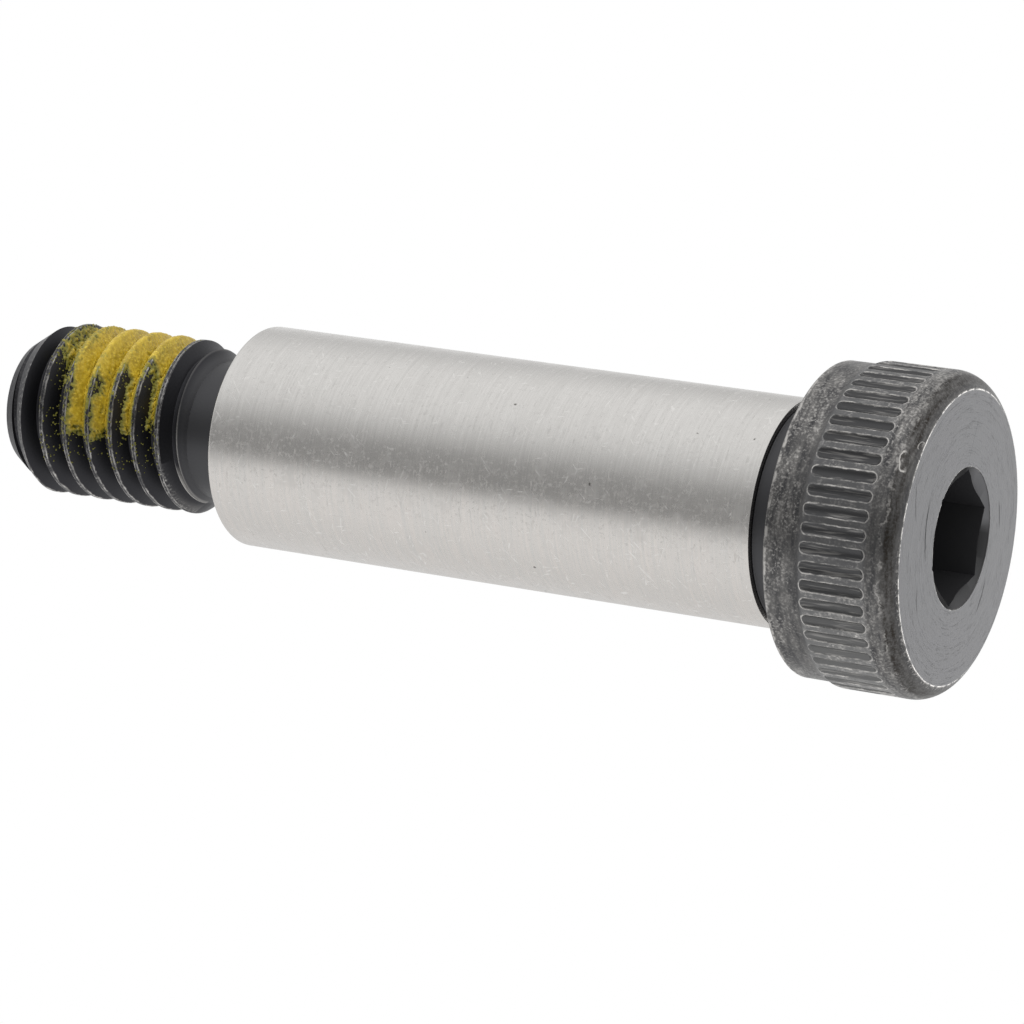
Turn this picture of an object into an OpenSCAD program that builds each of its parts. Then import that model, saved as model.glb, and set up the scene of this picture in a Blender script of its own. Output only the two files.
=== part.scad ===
/* [Head] */
// Diameter of the head over the knurl
head_d = 22.2; // [19.5:0.1:24]
// Height of the head, from the socket's face to the bearing face
head_h = 9.4; // [8.6:0.1:11]
// Radius that rounds the head's front edge
head_round = 1.9; // [1.3:0.1:2.1]
// How far the flat front face stops short of the head's side
face_inset = 1.1; // [0.6:0.1:1.2]
// Step down from the knurled band to the plain one beside the bearing face
rim_step = 0.3; // [0.1:0.05:0.5]
// Size of the broken edge round the bearing face
rim_break = 0.2; // [0.1:0.05:0.4]

/* [Knurl] */
// Number of knurl grooves round the head
knurl_count = 54; // [36:1:60]
// Width of one groove at the head's surface
knurl_w = 0.88; // [0.5:0.02:0.9]
// Depth of one groove
knurl_depth = 0.16; // [0.1:0.02:0.24]
// Distance from the front face to the grooves
knurl_front = 2; // [1.9:0.1:2.6]
// Length of the knurled band
knurl_l = 4.7; // [3:0.1:5.6]
// Length over which each end of a groove rises to the surface
knurl_fade = 0.3; // [0.1:0.05:0.5]
// Turn of the knurl about the axis, in degrees
knurl_turn = 2.5; // [0:0.5:6.5]

/* [Socket] */
// Width across the flats of the hexagon socket
socket_af = 8; // [6.3:0.1:9]
// Depth of the flats below the front face
socket_depth = 6.4; // [5:0.1:7]
// Included angle of the cone at the socket's bottom
socket_cone = 130; // [110:5:160]
// Diameter of the dished mouth at the front face
mouth_d = 9.6; // [9.2:0.1:11]
// Depth of the dished mouth where it meets a flat
mouth_depth = 0.12; // [0.1:0.02:0.5]
// How far the dished mouth was cut off the socket's axis
mouth_shift = 0.4; // [0:0.05:0.6]

/* [Shoulder] */
// Diameter of the ground shoulder
shoulder_d = 15.8; // [14.5:0.1:17]
// Distance from the bearing face to the shoulder's end
shoulder_l = 44.45; // [30:0.05:76.2]
// Size of the broken edge at the shoulder's end
shoulder_break = 0.25; // [0.1:0.05:0.6]
// Diameter of the undercut below the head
undercut_d = 14.8; // [13.6:0.1:15]
// Width of the undercut below the head
undercut_w = 2.36; // [1.5:0.02:3]
// Radius in the corner between the undercut and the bearing face
undercut_fillet = 0.3; // [0.1:0.05:0.35]

/* [Thread] */
// Outer diameter of the thread
thread_d = 12.5; // [12.2:0.05:12.7]
// Distance from the shoulder's end to the tip
thread_l = 19.05; // [15:0.05:25.4]
// Distance between neighbouring turns
pitch = 1.954; // [1.5:0.002:2]
// Depth of the thread
thread_depth = 1.2; // [0.9:0.02:1.3]
// Width of the flat on the crest
crest_w = 0.26; // [0.1:0.02:0.3]
// Turn of the thread about the axis, in degrees
thread_turn = 12; // [0:1:359]
// Diameter of the neck between the shoulder and the thread
neck_d = 9.9; // [9:0.05:10]
// Width of that neck
neck_w = 3.5; // [2.9:0.05:3.6]
// Length over which the first turn grows out of the neck
runout_l = 1.4; // [1:0.1:1.6]
// Length over which the thread narrows to the tip
tip_l = 2.4; // [1:0.1:3]
// Diameter of the flat tip
tip_d = 9.3; // [8:0.1:9.9]

/* [Locking patch] */
// Thickness of the nylon film on the crests and flanks
film_t = 0.13; // [0.08:0.01:0.2]
// Distance from the tip to the patch
patch_front = 5.6; // [3:0.1:7]
// Length of the patch along the thread
patch_l = 8.4; // [4:0.1:9]
// Angle that the patch covers round the thread, in degrees
patch_arc = 165; // [60:5:180]
// Angle from the hexagon's corner to the patch's middle, in degrees
patch_turn = -20; // [-90:5:90]

/* [Hidden] */
$fn = 72;

// Heights above the front face, on which the bolt stands
bearing_z = head_h;
shoulder_z = bearing_z + undercut_w;
shoulder_end = bearing_z + shoulder_l;
neck_end = shoulder_end + neck_w;
tip_z = shoulder_end + thread_l;

// Radii
head_r = head_d / 2;
rim_r = head_r - rim_step;
shoulder_r = shoulder_d / 2;
undercut_r = undercut_d / 2;
thread_r = thread_d / 2;
neck_r = neck_d / 2;
root_r = thread_r - thread_depth;
tip_r = tip_d / 2;

// Rounded front edge: the angle of its arc, and where the arc meets the head's side
round_angle = acos((head_round - face_inset) / head_round);
round_z = head_round * sin(round_angle);

// Thread form: flanks at 30 degrees to a plane across the axis
flank = tan(30);
turn_steps = 24;
cutter_over = 0.12;
cutter_gap = 0.1;
root_half = (pitch - crest_w) / 2 - thread_depth * flank;

function groove_half(r) = root_half + (r - root_r) * flank;

groove_start = shoulder_end + groove_half(thread_r + cutter_over) + cutter_gap;
groove_rise = tip_z + pitch - groove_start;
groove_rings = ceil(groove_rise / pitch * turn_steps);

// Knurl groove: its end, and the cutter's radius that gives the width at the depth
knurl_end = knurl_front + knurl_l;
knurl_cut_r = (knurl_w * knurl_w / 4 + knurl_depth * knurl_depth) / (2 * knurl_depth);

arc_steps = 8;

// Quarter of a circle about a centre, from one angle to another
function arc(x, y, r, from, to) =
    [for (i = [0:arc_steps]) let (a = from + (to - from) * i / arc_steps) [x + r * cos(a), y + r * sin(a)]];

// One ring of the thread groove, at an angle and a height
function groove_ring(section, i) =
    let (a = thread_turn + i * 360 / turn_steps, z = groove_start + i * pitch / turn_steps)
    [for (p = section) [p[0] * cos(a), p[0] * sin(a), z + p[1]]];

// Faces between the rings of a closed sweep, with both ends capped
function sweep_faces(sides, rings) = concat(
    [[for (j = [sides - 1:-1:0]) j]],
    [for (i = [0:rings - 1], j = [0:sides - 1], half = [0, 1])
        let (k = (j + 1) % sides, a = i * sides, b = a + sides)
        half == 0 ? [a + j, b + k, b + j] : [a + j, a + k, b + k]],
    [[for (j = [0:sides - 1]) rings * sides + j]]);

// The helical groove, narrowed on every side by a film
module thread_groove(film) {
    inner = root_r + film;
    outer = thread_r + film + cutter_over;
    narrow = film / cos(30);
    section = [
        [inner, -groove_half(inner) + narrow],
        [outer, -groove_half(outer) + narrow],
        [outer, groove_half(outer) - narrow],
        [inner, groove_half(inner) - narrow]
    ];
    points = [for (i = [0:groove_rings]) each groove_ring(section, i)];
    polyhedron(points = points, faces = sweep_faces(len(section), groove_rings), convexity = 20);
}

// The turned blank, from the front face to the tip
module blank() {
    rotate_extrude()
        polygon(concat(
            [[0, 0]],
            arc(head_r - head_round, round_z, head_round, -round_angle, 0),
            [[head_r, knurl_end - knurl_fade / 2],
             [rim_r, knurl_end + knurl_fade],
             [rim_r, bearing_z - rim_break],
             [rim_r - rim_break, bearing_z]],
            arc(undercut_r + undercut_fillet, bearing_z + undercut_fillet, undercut_fillet, -90, -180),
            [[undercut_r, shoulder_z],
             [shoulder_r, shoulder_z],
             [shoulder_r, shoulder_end - shoulder_break],
             [shoulder_r - shoulder_break, shoulder_end],
             [neck_r, shoulder_end],
             [neck_r, neck_end],
             [thread_r, neck_end + runout_l],
             [thread_r, tip_z - tip_l],
             [tip_r, tip_z],
             [0, tip_z]]));
}

// One cutter of the knurl, whose pointed ends rise through the head's surface
module knurl_cutter() {
    thin_r = knurl_cut_r - 2 * knurl_depth;
    translate([head_r - knurl_depth + knurl_cut_r, 0, 0])
        rotate_extrude()
            polygon([
                [0, knurl_front - knurl_fade], [thin_r, knurl_front - knurl_fade],
                [knurl_cut_r, knurl_front + knurl_fade], [knurl_cut_r, knurl_end - knurl_fade],
                [thin_r, knurl_end + knurl_fade], [0, knurl_end + knurl_fade]]);
}

module knurl() {
    for (i = [0:knurl_count - 1])
        rotate([0, 0, knurl_turn + (i + 0.5) * 360 / knurl_count]) knurl_cutter();
}

// Hexagon with its corners on the X axis, a cone at its bottom and a dished mouth
module socket() {
    corner_r = socket_af / 2 / cos(30);
    cone_h = socket_af / 2 / tan(socket_cone / 2);
    translate([0, 0, -1]) cylinder(h = socket_depth + 1, r = corner_r, $fn = 6);
    translate([0, 0, socket_depth]) cylinder(h = cone_h, r1 = socket_af / 2, r2 = 0);
    slope = (mouth_d / 2 - socket_af / 2) / mouth_depth;
    apex = mouth_d / 2 / slope;
    translate([0, mouth_shift, -1]) cylinder(h = apex + 1, r1 = (apex + 1) * slope, r2 = 0);
}

module shoulder_bolt() {
    color([0.3, 0.3, 0.31])
        difference() {
            blank();
            knurl();
            socket();
            thread_groove(0);
        }
}

// Sector of the thread that the patch covers
module patch_sector() {
    reach = 2 * thread_r;
    half = patch_arc / 2;
    rotate([0, 0, patch_turn])
        translate([0, 0, tip_z - patch_front - patch_l])
            linear_extrude(patch_l)
                polygon([[0, 0], [reach * cos(half), -reach * sin(half)], [reach, -reach * sin(half)],
                    [reach, reach * sin(half)], [reach * cos(half), reach * sin(half)]]);
}

module lock_patch() {
    color([0.76, 0.63, 0.17])
        difference() {
            intersection() {
                cylinder(h = tip_z, r = thread_r + film_t);
                patch_sector();
            }
            thread_groove(film_t);
            difference() {
                blank();
                thread_groove(0);
            }
        }
}

shoulder_bolt();
lock_patch();
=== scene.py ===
import math
import bpy
from mathutils import Matrix, Vector


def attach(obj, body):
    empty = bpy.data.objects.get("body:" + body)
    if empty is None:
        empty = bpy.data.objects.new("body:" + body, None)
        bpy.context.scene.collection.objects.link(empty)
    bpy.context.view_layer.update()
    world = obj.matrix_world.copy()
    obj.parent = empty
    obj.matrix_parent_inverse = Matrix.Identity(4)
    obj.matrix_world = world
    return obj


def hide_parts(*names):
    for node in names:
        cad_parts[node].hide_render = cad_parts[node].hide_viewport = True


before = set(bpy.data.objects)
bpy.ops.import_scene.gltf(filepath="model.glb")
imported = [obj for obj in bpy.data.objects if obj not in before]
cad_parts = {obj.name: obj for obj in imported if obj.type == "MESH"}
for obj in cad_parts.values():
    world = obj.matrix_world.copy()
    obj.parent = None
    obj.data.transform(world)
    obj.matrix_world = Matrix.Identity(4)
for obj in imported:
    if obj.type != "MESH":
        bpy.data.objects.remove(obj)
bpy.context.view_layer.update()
metre = 0.001  # one millimetre in Blender's metres
scene = bpy.context.scene


def linearColour(hexText):  # sRGB hex to the linear values that Blender's sockets take
    parts = [int(hexText[i:i + 2], 16) / 255 for i in (1, 3, 5)]
    return [p / 12.92 if p <= 0.04045 else ((p + 0.055) / 1.055) ** 2.4 for p in parts] + [1.0]


def addNode(tree, kind, inputs=(), **settings):  # adds a node, and gives back its first output
    item = tree.nodes.new(kind)
    for name, value in settings.items():
        setattr(item, name, value)
    pairs = inputs.items() if isinstance(inputs, dict) else enumerate(inputs)
    for key, value in pairs:
        if isinstance(value, bpy.types.NodeSocket):
            tree.links.new(value, item.inputs[key])
        elif value is not None:
            item.inputs[key].default_value = value
    return item.outputs[0] if item.outputs else item


def newTree(name, inputs):  # a Geometry Nodes tree with named inputs
    tree = bpy.data.node_groups.new(name, "GeometryNodeTree")
    tree.interface.new_socket("Geometry", in_out="OUTPUT", socket_type="NodeSocketGeometry")
    for label, kind in inputs:
        tree.interface.new_socket(label, in_out="INPUT", socket_type="NodeSocket" + kind)
    return tree, tree.nodes.new("NodeGroupInput").outputs


def bakeTree(name, points, tree, values):  # runs a tree on loose points, and keeps a plain mesh
    source = bpy.data.meshes.new(name + "Points")
    source.from_pydata(points, [], [])
    carrier = bpy.data.objects.new(name + "Carrier", source)
    scene.collection.objects.link(carrier)
    modifier = carrier.modifiers.new("nodes", "NODES")
    modifier.node_group = tree
    for item in tree.interface.items_tree:
        if item.in_out == "INPUT" and item.name in values:
            modifier[item.identifier] = values[item.name]
    graph = bpy.context.evaluated_depsgraph_get()
    mesh = bpy.data.meshes.new_from_object(carrier.evaluated_get(graph), depsgraph=graph)
    bpy.data.objects.remove(carrier)
    mesh.name = name
    mesh.materials.pop(index=0)
    piece = bpy.data.objects.new(name, mesh)
    scene.collection.objects.link(piece)
    return piece


print("stage 1: camera")
cameraPlace = {  # fitted to the photo: metres, and the lens in millimetres
    "location": (0.0, -0.29739, -0.11855),
    "right": (0.14551, 0.45101, -0.88057),
    "up": (0.98931, -0.05898, 0.13328),
    "back": (0.00817, -0.89056, -0.45478),
    "lens": 168.64,
}
cameraData = bpy.data.cameras.new("photoCamera")
cameraData.sensor_width = 36
cameraData.lens = cameraPlace["lens"]
cameraData.clip_start = 0.01
camera = bpy.data.objects.new("photoCamera", cameraData)
scene.collection.objects.link(camera)
turn = Matrix([cameraPlace[side] for side in ("right", "up", "back")]).transposed()
camera.matrix_world = Matrix.Translation(cameraPlace["location"]) @ turn.to_4x4()
scene.camera = camera

print("stage 2: turned profiles")
bolt = {  # millimetres and degrees, as in the CAD source
    "headR": 11.1, "headH": 9.4, "headRound": 1.9, "faceInset": 1.1, "rimStep": 0.3, "rimBreak": 0.2,
    "undercutR": 7.4, "undercutW": 2.36, "undercutFillet": 0.3,
    "shoulderR": 7.9, "shoulderL": 44.45, "shoulderBreak": 0.25,
    "neckR": 4.95, "neckW": 3.5, "runout": 1.4,
    "threadR": 6.25, "threadL": 19.05, "threadDepth": 1.2, "pitch": 1.954,
    "crestW": 0.26, "threadTurn": 12.0, "tipL": 2.4, "tipR": 4.65,
    "knurlCount": 54, "knurlW": 0.88, "knurlDepth": 0.16, "knurlFront": 2.0,
    "knurlL": 4.7, "knurlFade": 0.3, "knurlTurn": 2.5,
    "socketFlats": 8.0, "socketDepth": 6.4, "socketCone": 130.0,
    "mouthD": 9.6, "mouthDepth": 0.12, "mouthShift": 0.4,
    "cutterOver": 0.12, "cutterGap": 0.1,
    # Smaller forms, which only the dressed bolt has
    "bandStep": [  # the soft step behind the knurl: height past the knurl's end, and depth
        (-0.3, 0.0), (-0.1, 0.04), (0.12, 0.15), (0.3, 0.26), (0.55, 0.3)],
    "undercutRound": 0.12, "shoulderRound": 0.06, "neckFillet": 0.25, "rootRound": 0.07,
    "leadTurns": 2.5, "leadOut": 0.8,  # over its first turns the thread groove comes in from this far out
    "mouthEdge": 0.04, "sinkR": 4.45, "sinkSlope": 32.0,
    "nicks": [  # dents by knocks on the rounded edge: turn, height, roll, half height, half width, lip
        (-66.0, 0.62, 0.25, 0.50, 1.0, 1.0), (-57.0, 0.10, -0.5, 0.28, 0.5, 0.7),
        (-118.0, 0.9, 0.8, 0.22, 0.45, 0.1)],
    "nickDeep": 0.34, "nickOut": 0.24,  # half size of what knocked, and how far out its middle stayed
    "turnSteps": 288, "threadSteps": 96, "knurlSteps": 48, "drillSteps": 96, "mouthSteps": 192,
}
shoulderStart = bolt["headH"] + bolt["undercutW"]
shoulderEnd = bolt["headH"] + bolt["shoulderL"]
neckEnd = shoulderEnd + bolt["neckW"]
tipZ = shoulderEnd + bolt["threadL"]
rootR = bolt["threadR"] - bolt["threadDepth"]
flank = math.tan(math.radians(30))
rootHalf = (bolt["pitch"] - bolt["crestW"]) / 2 - bolt["threadDepth"] * flank


def arc(x, y, radius, start, end, steps=8):  # part of a circle, as distances from the axis and heights
    turns = [math.radians(start + (end - start) * i / steps) for i in range(steps + 1)]
    return [(x + radius * math.cos(t), y + radius * math.sin(t)) for t in turns]


faceR = bolt["headR"] - bolt["faceInset"]
roundTurn = math.acos((bolt["headRound"] - bolt["faceInset"]) / bolt["headRound"])
roundZ = bolt["headRound"] * math.sin(roundTurn)
rimR = bolt["headR"] - bolt["rimStep"]
knurlLow = bolt["knurlFront"]
knurlHigh = knurlLow + bolt["knurlL"]
blankProfile = (
    [(0, 0), (6.5, 0), (faceR - 0.12, 0)]  # rings on the flat face keep its shading even
    + arc(bolt["headR"] - bolt["headRound"], roundZ, bolt["headRound"], -math.degrees(roundTurn), 0, 12)
    + [(bolt["headR"] - deep, knurlHigh + past) for past, deep in bolt["bandStep"]]
    + [(rimR - 0.01, bolt["headH"] - bolt["rimBreak"] - 0.1)]
    + arc(rimR - bolt["rimBreak"], bolt["headH"] - bolt["rimBreak"], bolt["rimBreak"], 15, 90, 4)
    + arc(bolt["undercutR"] + bolt["undercutFillet"], bolt["headH"] + bolt["undercutFillet"],
          bolt["undercutFillet"], -90, -180)
    + [(bolt["undercutR"], shoulderStart - bolt["undercutRound"])]
    + arc(bolt["undercutR"] + bolt["undercutRound"], shoulderStart - bolt["undercutRound"],
          bolt["undercutRound"], 180, 90, 4)
    + arc(bolt["shoulderR"] - bolt["shoulderRound"], shoulderStart + bolt["shoulderRound"],
          bolt["shoulderRound"], -90, 0, 4)
    + arc(bolt["shoulderR"] - bolt["shoulderBreak"], shoulderEnd - bolt["shoulderBreak"],
          bolt["shoulderBreak"], 0, 90, 5)
    + arc(bolt["neckR"] + bolt["neckFillet"], shoulderEnd + bolt["neckFillet"],
          bolt["neckFillet"], -90, -180, 5)
    + [(bolt["neckR"], neckEnd), (bolt["threadR"], neckEnd + bolt["runout"]),
       (bolt["threadR"], tipZ - bolt["tipL"]), (bolt["tipR"], tipZ), (0, tipZ)]
)
grooveOuter = bolt["threadR"] + bolt["cutterOver"]
grooveHalf = rootHalf + (grooveOuter - rootR) * flank
grooveStart = shoulderEnd + grooveHalf + bolt["cutterGap"]
grooveTurns = math.ceil((tipZ + bolt["pitch"] - grooveStart) / bolt["pitch"])
rootCorner = arc(  # tangent to the flank, whose slope is 0.577
    rootR + bolt["rootRound"], rootHalf - bolt["rootRound"] * 0.577, bolt["rootRound"], 120, 180, 3)
grooveProfile = (
    [(grooveOuter, -grooveHalf), (grooveOuter, grooveHalf)]
    + rootCorner + [(r, -z) for r, z in reversed(rootCorner)]
    + [(grooveOuter, -grooveHalf)]
)
knurlR = (bolt["knurlW"] ** 2 / 4 + bolt["knurlDepth"] ** 2) / (2 * bolt["knurlDepth"])
knurlThin = knurlR - 2 * bolt["knurlDepth"]
fade = bolt["knurlFade"]
knurlProfile = [
    (0, knurlLow - fade), (knurlThin, knurlLow - fade), (knurlR, knurlLow + fade),
    (knurlR, knurlHigh - fade), (knurlThin, knurlHigh + fade), (0, knurlHigh + fade),
]
flatR = bolt["socketFlats"] / 2
cornerR = flatR / math.cos(math.radians(30))
hexagonProfile = [(0, -1), (cornerR, -1), (cornerR, bolt["socketDepth"]), (0, bolt["socketDepth"])]
coneH = flatR / math.tan(math.radians(bolt["socketCone"] / 2))
drillR = flatR - 0.02  # just inside the flats
drillProfile = [(0, 3), (drillR, 3), (drillR, bolt["socketDepth"]), (0, bolt["socketDepth"] + coneH)]
mouthR = bolt["mouthD"] / 2
mouthSlope = (mouthR - flatR) / bolt["mouthDepth"]
mouthBottom = bolt["mouthEdge"] + (mouthR - 1) / mouthSlope
mouthProfile = [(0, -1), (mouthR + bolt["mouthEdge"] + 1, -1), (mouthR, bolt["mouthEdge"]),
                (1, mouthBottom), (0, mouthBottom)]
sinkSlope = math.tan(math.radians(bolt["sinkSlope"]))
sinkBottom = (bolt["sinkR"] - 1) * sinkSlope
sinkProfile = [(0, -1), (bolt["sinkR"] + 1 / sinkSlope, -1), (1, sinkBottom), (0, sinkBottom)]

profiles = {
    "blank": blankProfile, "groove": grooveProfile, "knurl": knurlProfile, "hexagon": hexagonProfile,
    "drill": drillProfile, "mouth": mouthProfile, "sink": sinkProfile,
}
points = []  # all the profiles in a row, and where each one starts
starts = {}
for name, profile in profiles.items():
    starts[name] = len(points)
    points += [(r, 0, z) for r, z in profile]

nickPlaces = []
nickAway = bolt["headRound"] + bolt["nickOut"]
for nickTurn, nickHeight, roll, halfHigh, halfWide, lipStrength in bolt["nicks"]:
    lean = math.asin((roundZ - nickHeight) / bolt["headRound"])
    nickR = bolt["headR"] - bolt["headRound"] + nickAway * math.cos(lean)
    toTurn = math.radians(nickTurn)
    spin = Matrix.Rotation(toTurn, 3, "Z") @ Matrix.Rotation(lean, 3, "Y") @ Matrix.Rotation(roll, 3, "X")
    nickPlaces.append((
        (nickR * math.cos(toTurn), nickR * math.sin(toTurn), roundZ - nickAway * math.sin(lean)),
        spin.to_euler(), (bolt["nickDeep"], halfWide, halfHigh), lipStrength))

print("stage 3: node trees")

# One group turns a profile round the axis: rings of its points, with a rise for a thread
turnTree, given = newTree("turnProfile", [
    ("Profiles", "Geometry"), ("First", "Int"), ("Count", "Int"), ("Rings", "Int"),
    ("Turn per ring", "Float"), ("Start turn", "Float"), ("Rise per ring", "Float"),
    ("Start rise", "Float"), ("Close ends", "Bool"), ("End centre", "Vector"), ("Lead rings", "Float"),
    ("Lead out", "Float")])
tree = turnTree
grid = addNode(tree, "GeometryNodeMeshGrid", {"Vertices X": given["Rings"], "Vertices Y": given["Count"]})
index = addNode(tree, "GeometryNodeInputIndex")
ringFlow = addNode(tree, "ShaderNodeMath", [index, given["Count"]], operation="DIVIDE")
ringFlow = addNode(tree, "ShaderNodeMath", [ringFlow, 0.0001], operation="ADD")
ring = addNode(tree, "ShaderNodeMath", [ringFlow], operation="FLOOR")
before = addNode(tree, "ShaderNodeMath", [ring, given["Count"]], operation="MULTIPLY")
within = addNode(tree, "ShaderNodeMath", [index, before], operation="SUBTRACT")
pick = addNode(tree, "ShaderNodeMath", [within, given["First"]], operation="ADD")
place = addNode(tree, "GeometryNodeInputPosition")
sampled = addNode(tree, "GeometryNodeSampleIndex", {
    "Geometry": given["Profiles"], "Value": place, "Index": pick},
    data_type="FLOAT_VECTOR", domain="POINT", clamp=True)
# A thread's first and last ring shrink to a point, which closes its ends
lastRing = addNode(tree, "ShaderNodeMath", [given["Rings"], 1.0], operation="SUBTRACT")
middleRing = addNode(tree, "ShaderNodeMath", [lastRing, 0.5], operation="MULTIPLY")
fromMiddle = addNode(tree, "ShaderNodeMath", [ring, middleRing], operation="SUBTRACT")
fromMiddle = addNode(tree, "ShaderNodeMath", [fromMiddle], operation="ABSOLUTE")
nearEnd = addNode(tree, "ShaderNodeMath", [lastRing, 0.4999], operation="MULTIPLY")
isEnd = addNode(tree, "ShaderNodeMath", [fromMiddle, nearEnd], operation="GREATER_THAN")
closing = addNode(tree, "ShaderNodeMath", [isEnd, given["Close ends"]], operation="MULTIPLY")
section = addNode(tree, "ShaderNodeMix", {0: closing, 4: sampled, 5: given["End centre"]},
                  data_type="VECTOR").node.outputs[1]
angle = addNode(tree, "ShaderNodeMath", [ring, given["Turn per ring"], given["Start turn"]],
                operation="MULTIPLY_ADD")
radians = addNode(tree, "ShaderNodeMath", [angle], operation="RADIANS")
rise = addNode(tree, "ShaderNodeMath", [ring, given["Rise per ring"], given["Start rise"]],
               operation="MULTIPLY_ADD")
leadPart = addNode(tree, "ShaderNodeMath", [ring, given["Lead rings"]], operation="DIVIDE", use_clamp=True)
leadLeft = addNode(tree, "ShaderNodeMath", [1.0, leadPart], operation="SUBTRACT")
leadOut = addNode(tree, "ShaderNodeMath", [leadLeft, given["Lead out"]], operation="MULTIPLY")
outward = addNode(tree, "ShaderNodeCombineXYZ", {"X": leadOut})
led = addNode(tree, "ShaderNodeVectorMath", [section, outward], operation="ADD")
turned = addNode(tree, "ShaderNodeVectorRotate", {"Vector": led, "Angle": radians}, rotation_type="Z_AXIS")
upward = addNode(tree, "ShaderNodeCombineXYZ", {"Z": rise})
raised = addNode(tree, "ShaderNodeVectorMath", [turned, upward], operation="ADD")
moved = addNode(tree, "GeometryNodeSetPosition", {"Geometry": grid, "Position": raised})
merged = addNode(tree, "GeometryNodeMergeByDistance", {"Geometry": moved, "Distance": 0.0005})
addNode(tree, "NodeGroupOutput", [merged])

# The bolt's tree cuts the knurl, the socket, the dents and the thread out of the turned blank
boltTree, given = newTree("shoulderBoltTree", [
    ("Profiles", "Geometry"), ("Turn steps", "Int"), ("Thread steps", "Int"), ("Thread turns", "Int"),
    ("Pitch", "Float"), ("Thread turn", "Float"), ("Thread start", "Float"), ("Lead turns", "Float"),
    ("Lead out", "Float"),
    ("Knurl count", "Int"), ("Knurl turn", "Float"), ("Knurl reach", "Float"), ("Mouth shift", "Float"),
    ("Shoulder start", "Float"), ("Shoulder end", "Float"), ("Shoulder inner", "Float"),
    ("Oxide", "Material"), ("Ground", "Material")])
tree = boltTree


def turnedPart(name, rings, turnPerRing, threadValues=()):  # one of the profiles, turned by the group above
    values = {
        "Profiles": given["Profiles"], "First": starts[name], "Count": len(profiles[name]),
        "Rings": rings, "Turn per ring": turnPerRing}
    values.update(threadValues)
    return addNode(boltTree, "GeometryNodeGroup", values, node_tree=turnTree)


def wholeTurn(steps):  # the rings of a closed turn, and the degrees from one to the next
    return steps + 1, 360 / steps


ringsBlank = addNode(tree, "ShaderNodeMath", [given["Turn steps"], 1.0], operation="ADD")
perBlank = addNode(tree, "ShaderNodeMath", [360.0, given["Turn steps"]], operation="DIVIDE")
ringsThread = addNode(tree, "ShaderNodeMath", [given["Thread steps"], given["Thread turns"], 1.0],
                      operation="MULTIPLY_ADD")
perThread = addNode(tree, "ShaderNodeMath", [360.0, given["Thread steps"]], operation="DIVIDE")
riseThread = addNode(tree, "ShaderNodeMath", [given["Pitch"], given["Thread steps"]], operation="DIVIDE")
leadRings = addNode(tree, "ShaderNodeMath", [given["Lead turns"], given["Thread steps"]],
                    operation="MULTIPLY")
blankMesh = turnedPart("blank", ringsBlank, perBlank)
grooveMesh = turnedPart("groove", ringsThread, perThread, {
    "Start turn": given["Thread turn"], "Rise per ring": riseThread, "Start rise": given["Thread start"],
    "Close ends": True, "End centre": ((rootR + grooveOuter) / 2, 0, 0),
    "Lead rings": leadRings, "Lead out": given["Lead out"]})
knurlMesh = turnedPart("knurl", *wholeTurn(bolt["knurlSteps"]))
hexagonMesh = turnedPart("hexagon", *wholeTurn(6))
drillMesh = turnedPart("drill", *wholeTurn(bolt["drillSteps"]))
mouthShift = addNode(tree, "ShaderNodeCombineXYZ", {"Y": given["Mouth shift"]})
mouthMesh = addNode(tree, "GeometryNodeTransform", {
    "Geometry": turnedPart("mouth", *wholeTurn(bolt["mouthSteps"])), "Translation": mouthShift})
sinkMesh = turnedPart("sink", *wholeTurn(bolt["mouthSteps"]))

index = addNode(tree, "GeometryNodeInputIndex")
knurlIndex = addNode(tree, "ShaderNodeMath", [index, 0.5], operation="ADD")
betweenKnurls = addNode(tree, "ShaderNodeMath", [360.0, given["Knurl count"]], operation="DIVIDE")
knurlAngle = addNode(tree, "ShaderNodeMath", [knurlIndex, betweenKnurls, given["Knurl turn"]],
                     operation="MULTIPLY_ADD")
knurlAngle = addNode(tree, "ShaderNodeMath", [knurlAngle], operation="RADIANS")
knurlReach = addNode(tree, "ShaderNodeCombineXYZ", {"X": given["Knurl reach"]})
knurlPlace = addNode(tree, "ShaderNodeVectorRotate", {"Vector": knurlReach, "Angle": knurlAngle},
                     rotation_type="Z_AXIS")
knurlPoints = addNode(tree, "GeometryNodePoints", {"Count": given["Knurl count"], "Position": knurlPlace})
knurlCuts = addNode(tree, "GeometryNodeInstanceOnPoints", {"Points": knurlPoints, "Instance": knurlMesh})
knurlCuts = addNode(tree, "GeometryNodeRealizeInstances", [knurlCuts])
nickMeshes = []
for nickPlace, nickSpin, nickScale, lipStrength in nickPlaces:
    ball = addNode(tree, "GeometryNodeMeshUVSphere", {"Segments": 24, "Rings": 16, "Radius": 1.0})
    nickMeshes.append(addNode(tree, "GeometryNodeTransform", {
        "Geometry": ball, "Translation": nickPlace, "Rotation": nickSpin, "Scale": nickScale}))
cut = addNode(tree, "GeometryNodeMeshBoolean", {"Mesh 1": blankMesh}, operation="DIFFERENCE",
              solver="MANIFOLD")
for cutter in (grooveMesh, knurlCuts, hexagonMesh, drillMesh, mouthMesh, sinkMesh, *nickMeshes):
    tree.links.new(cutter, cut.node.inputs["Mesh 2"])

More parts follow.
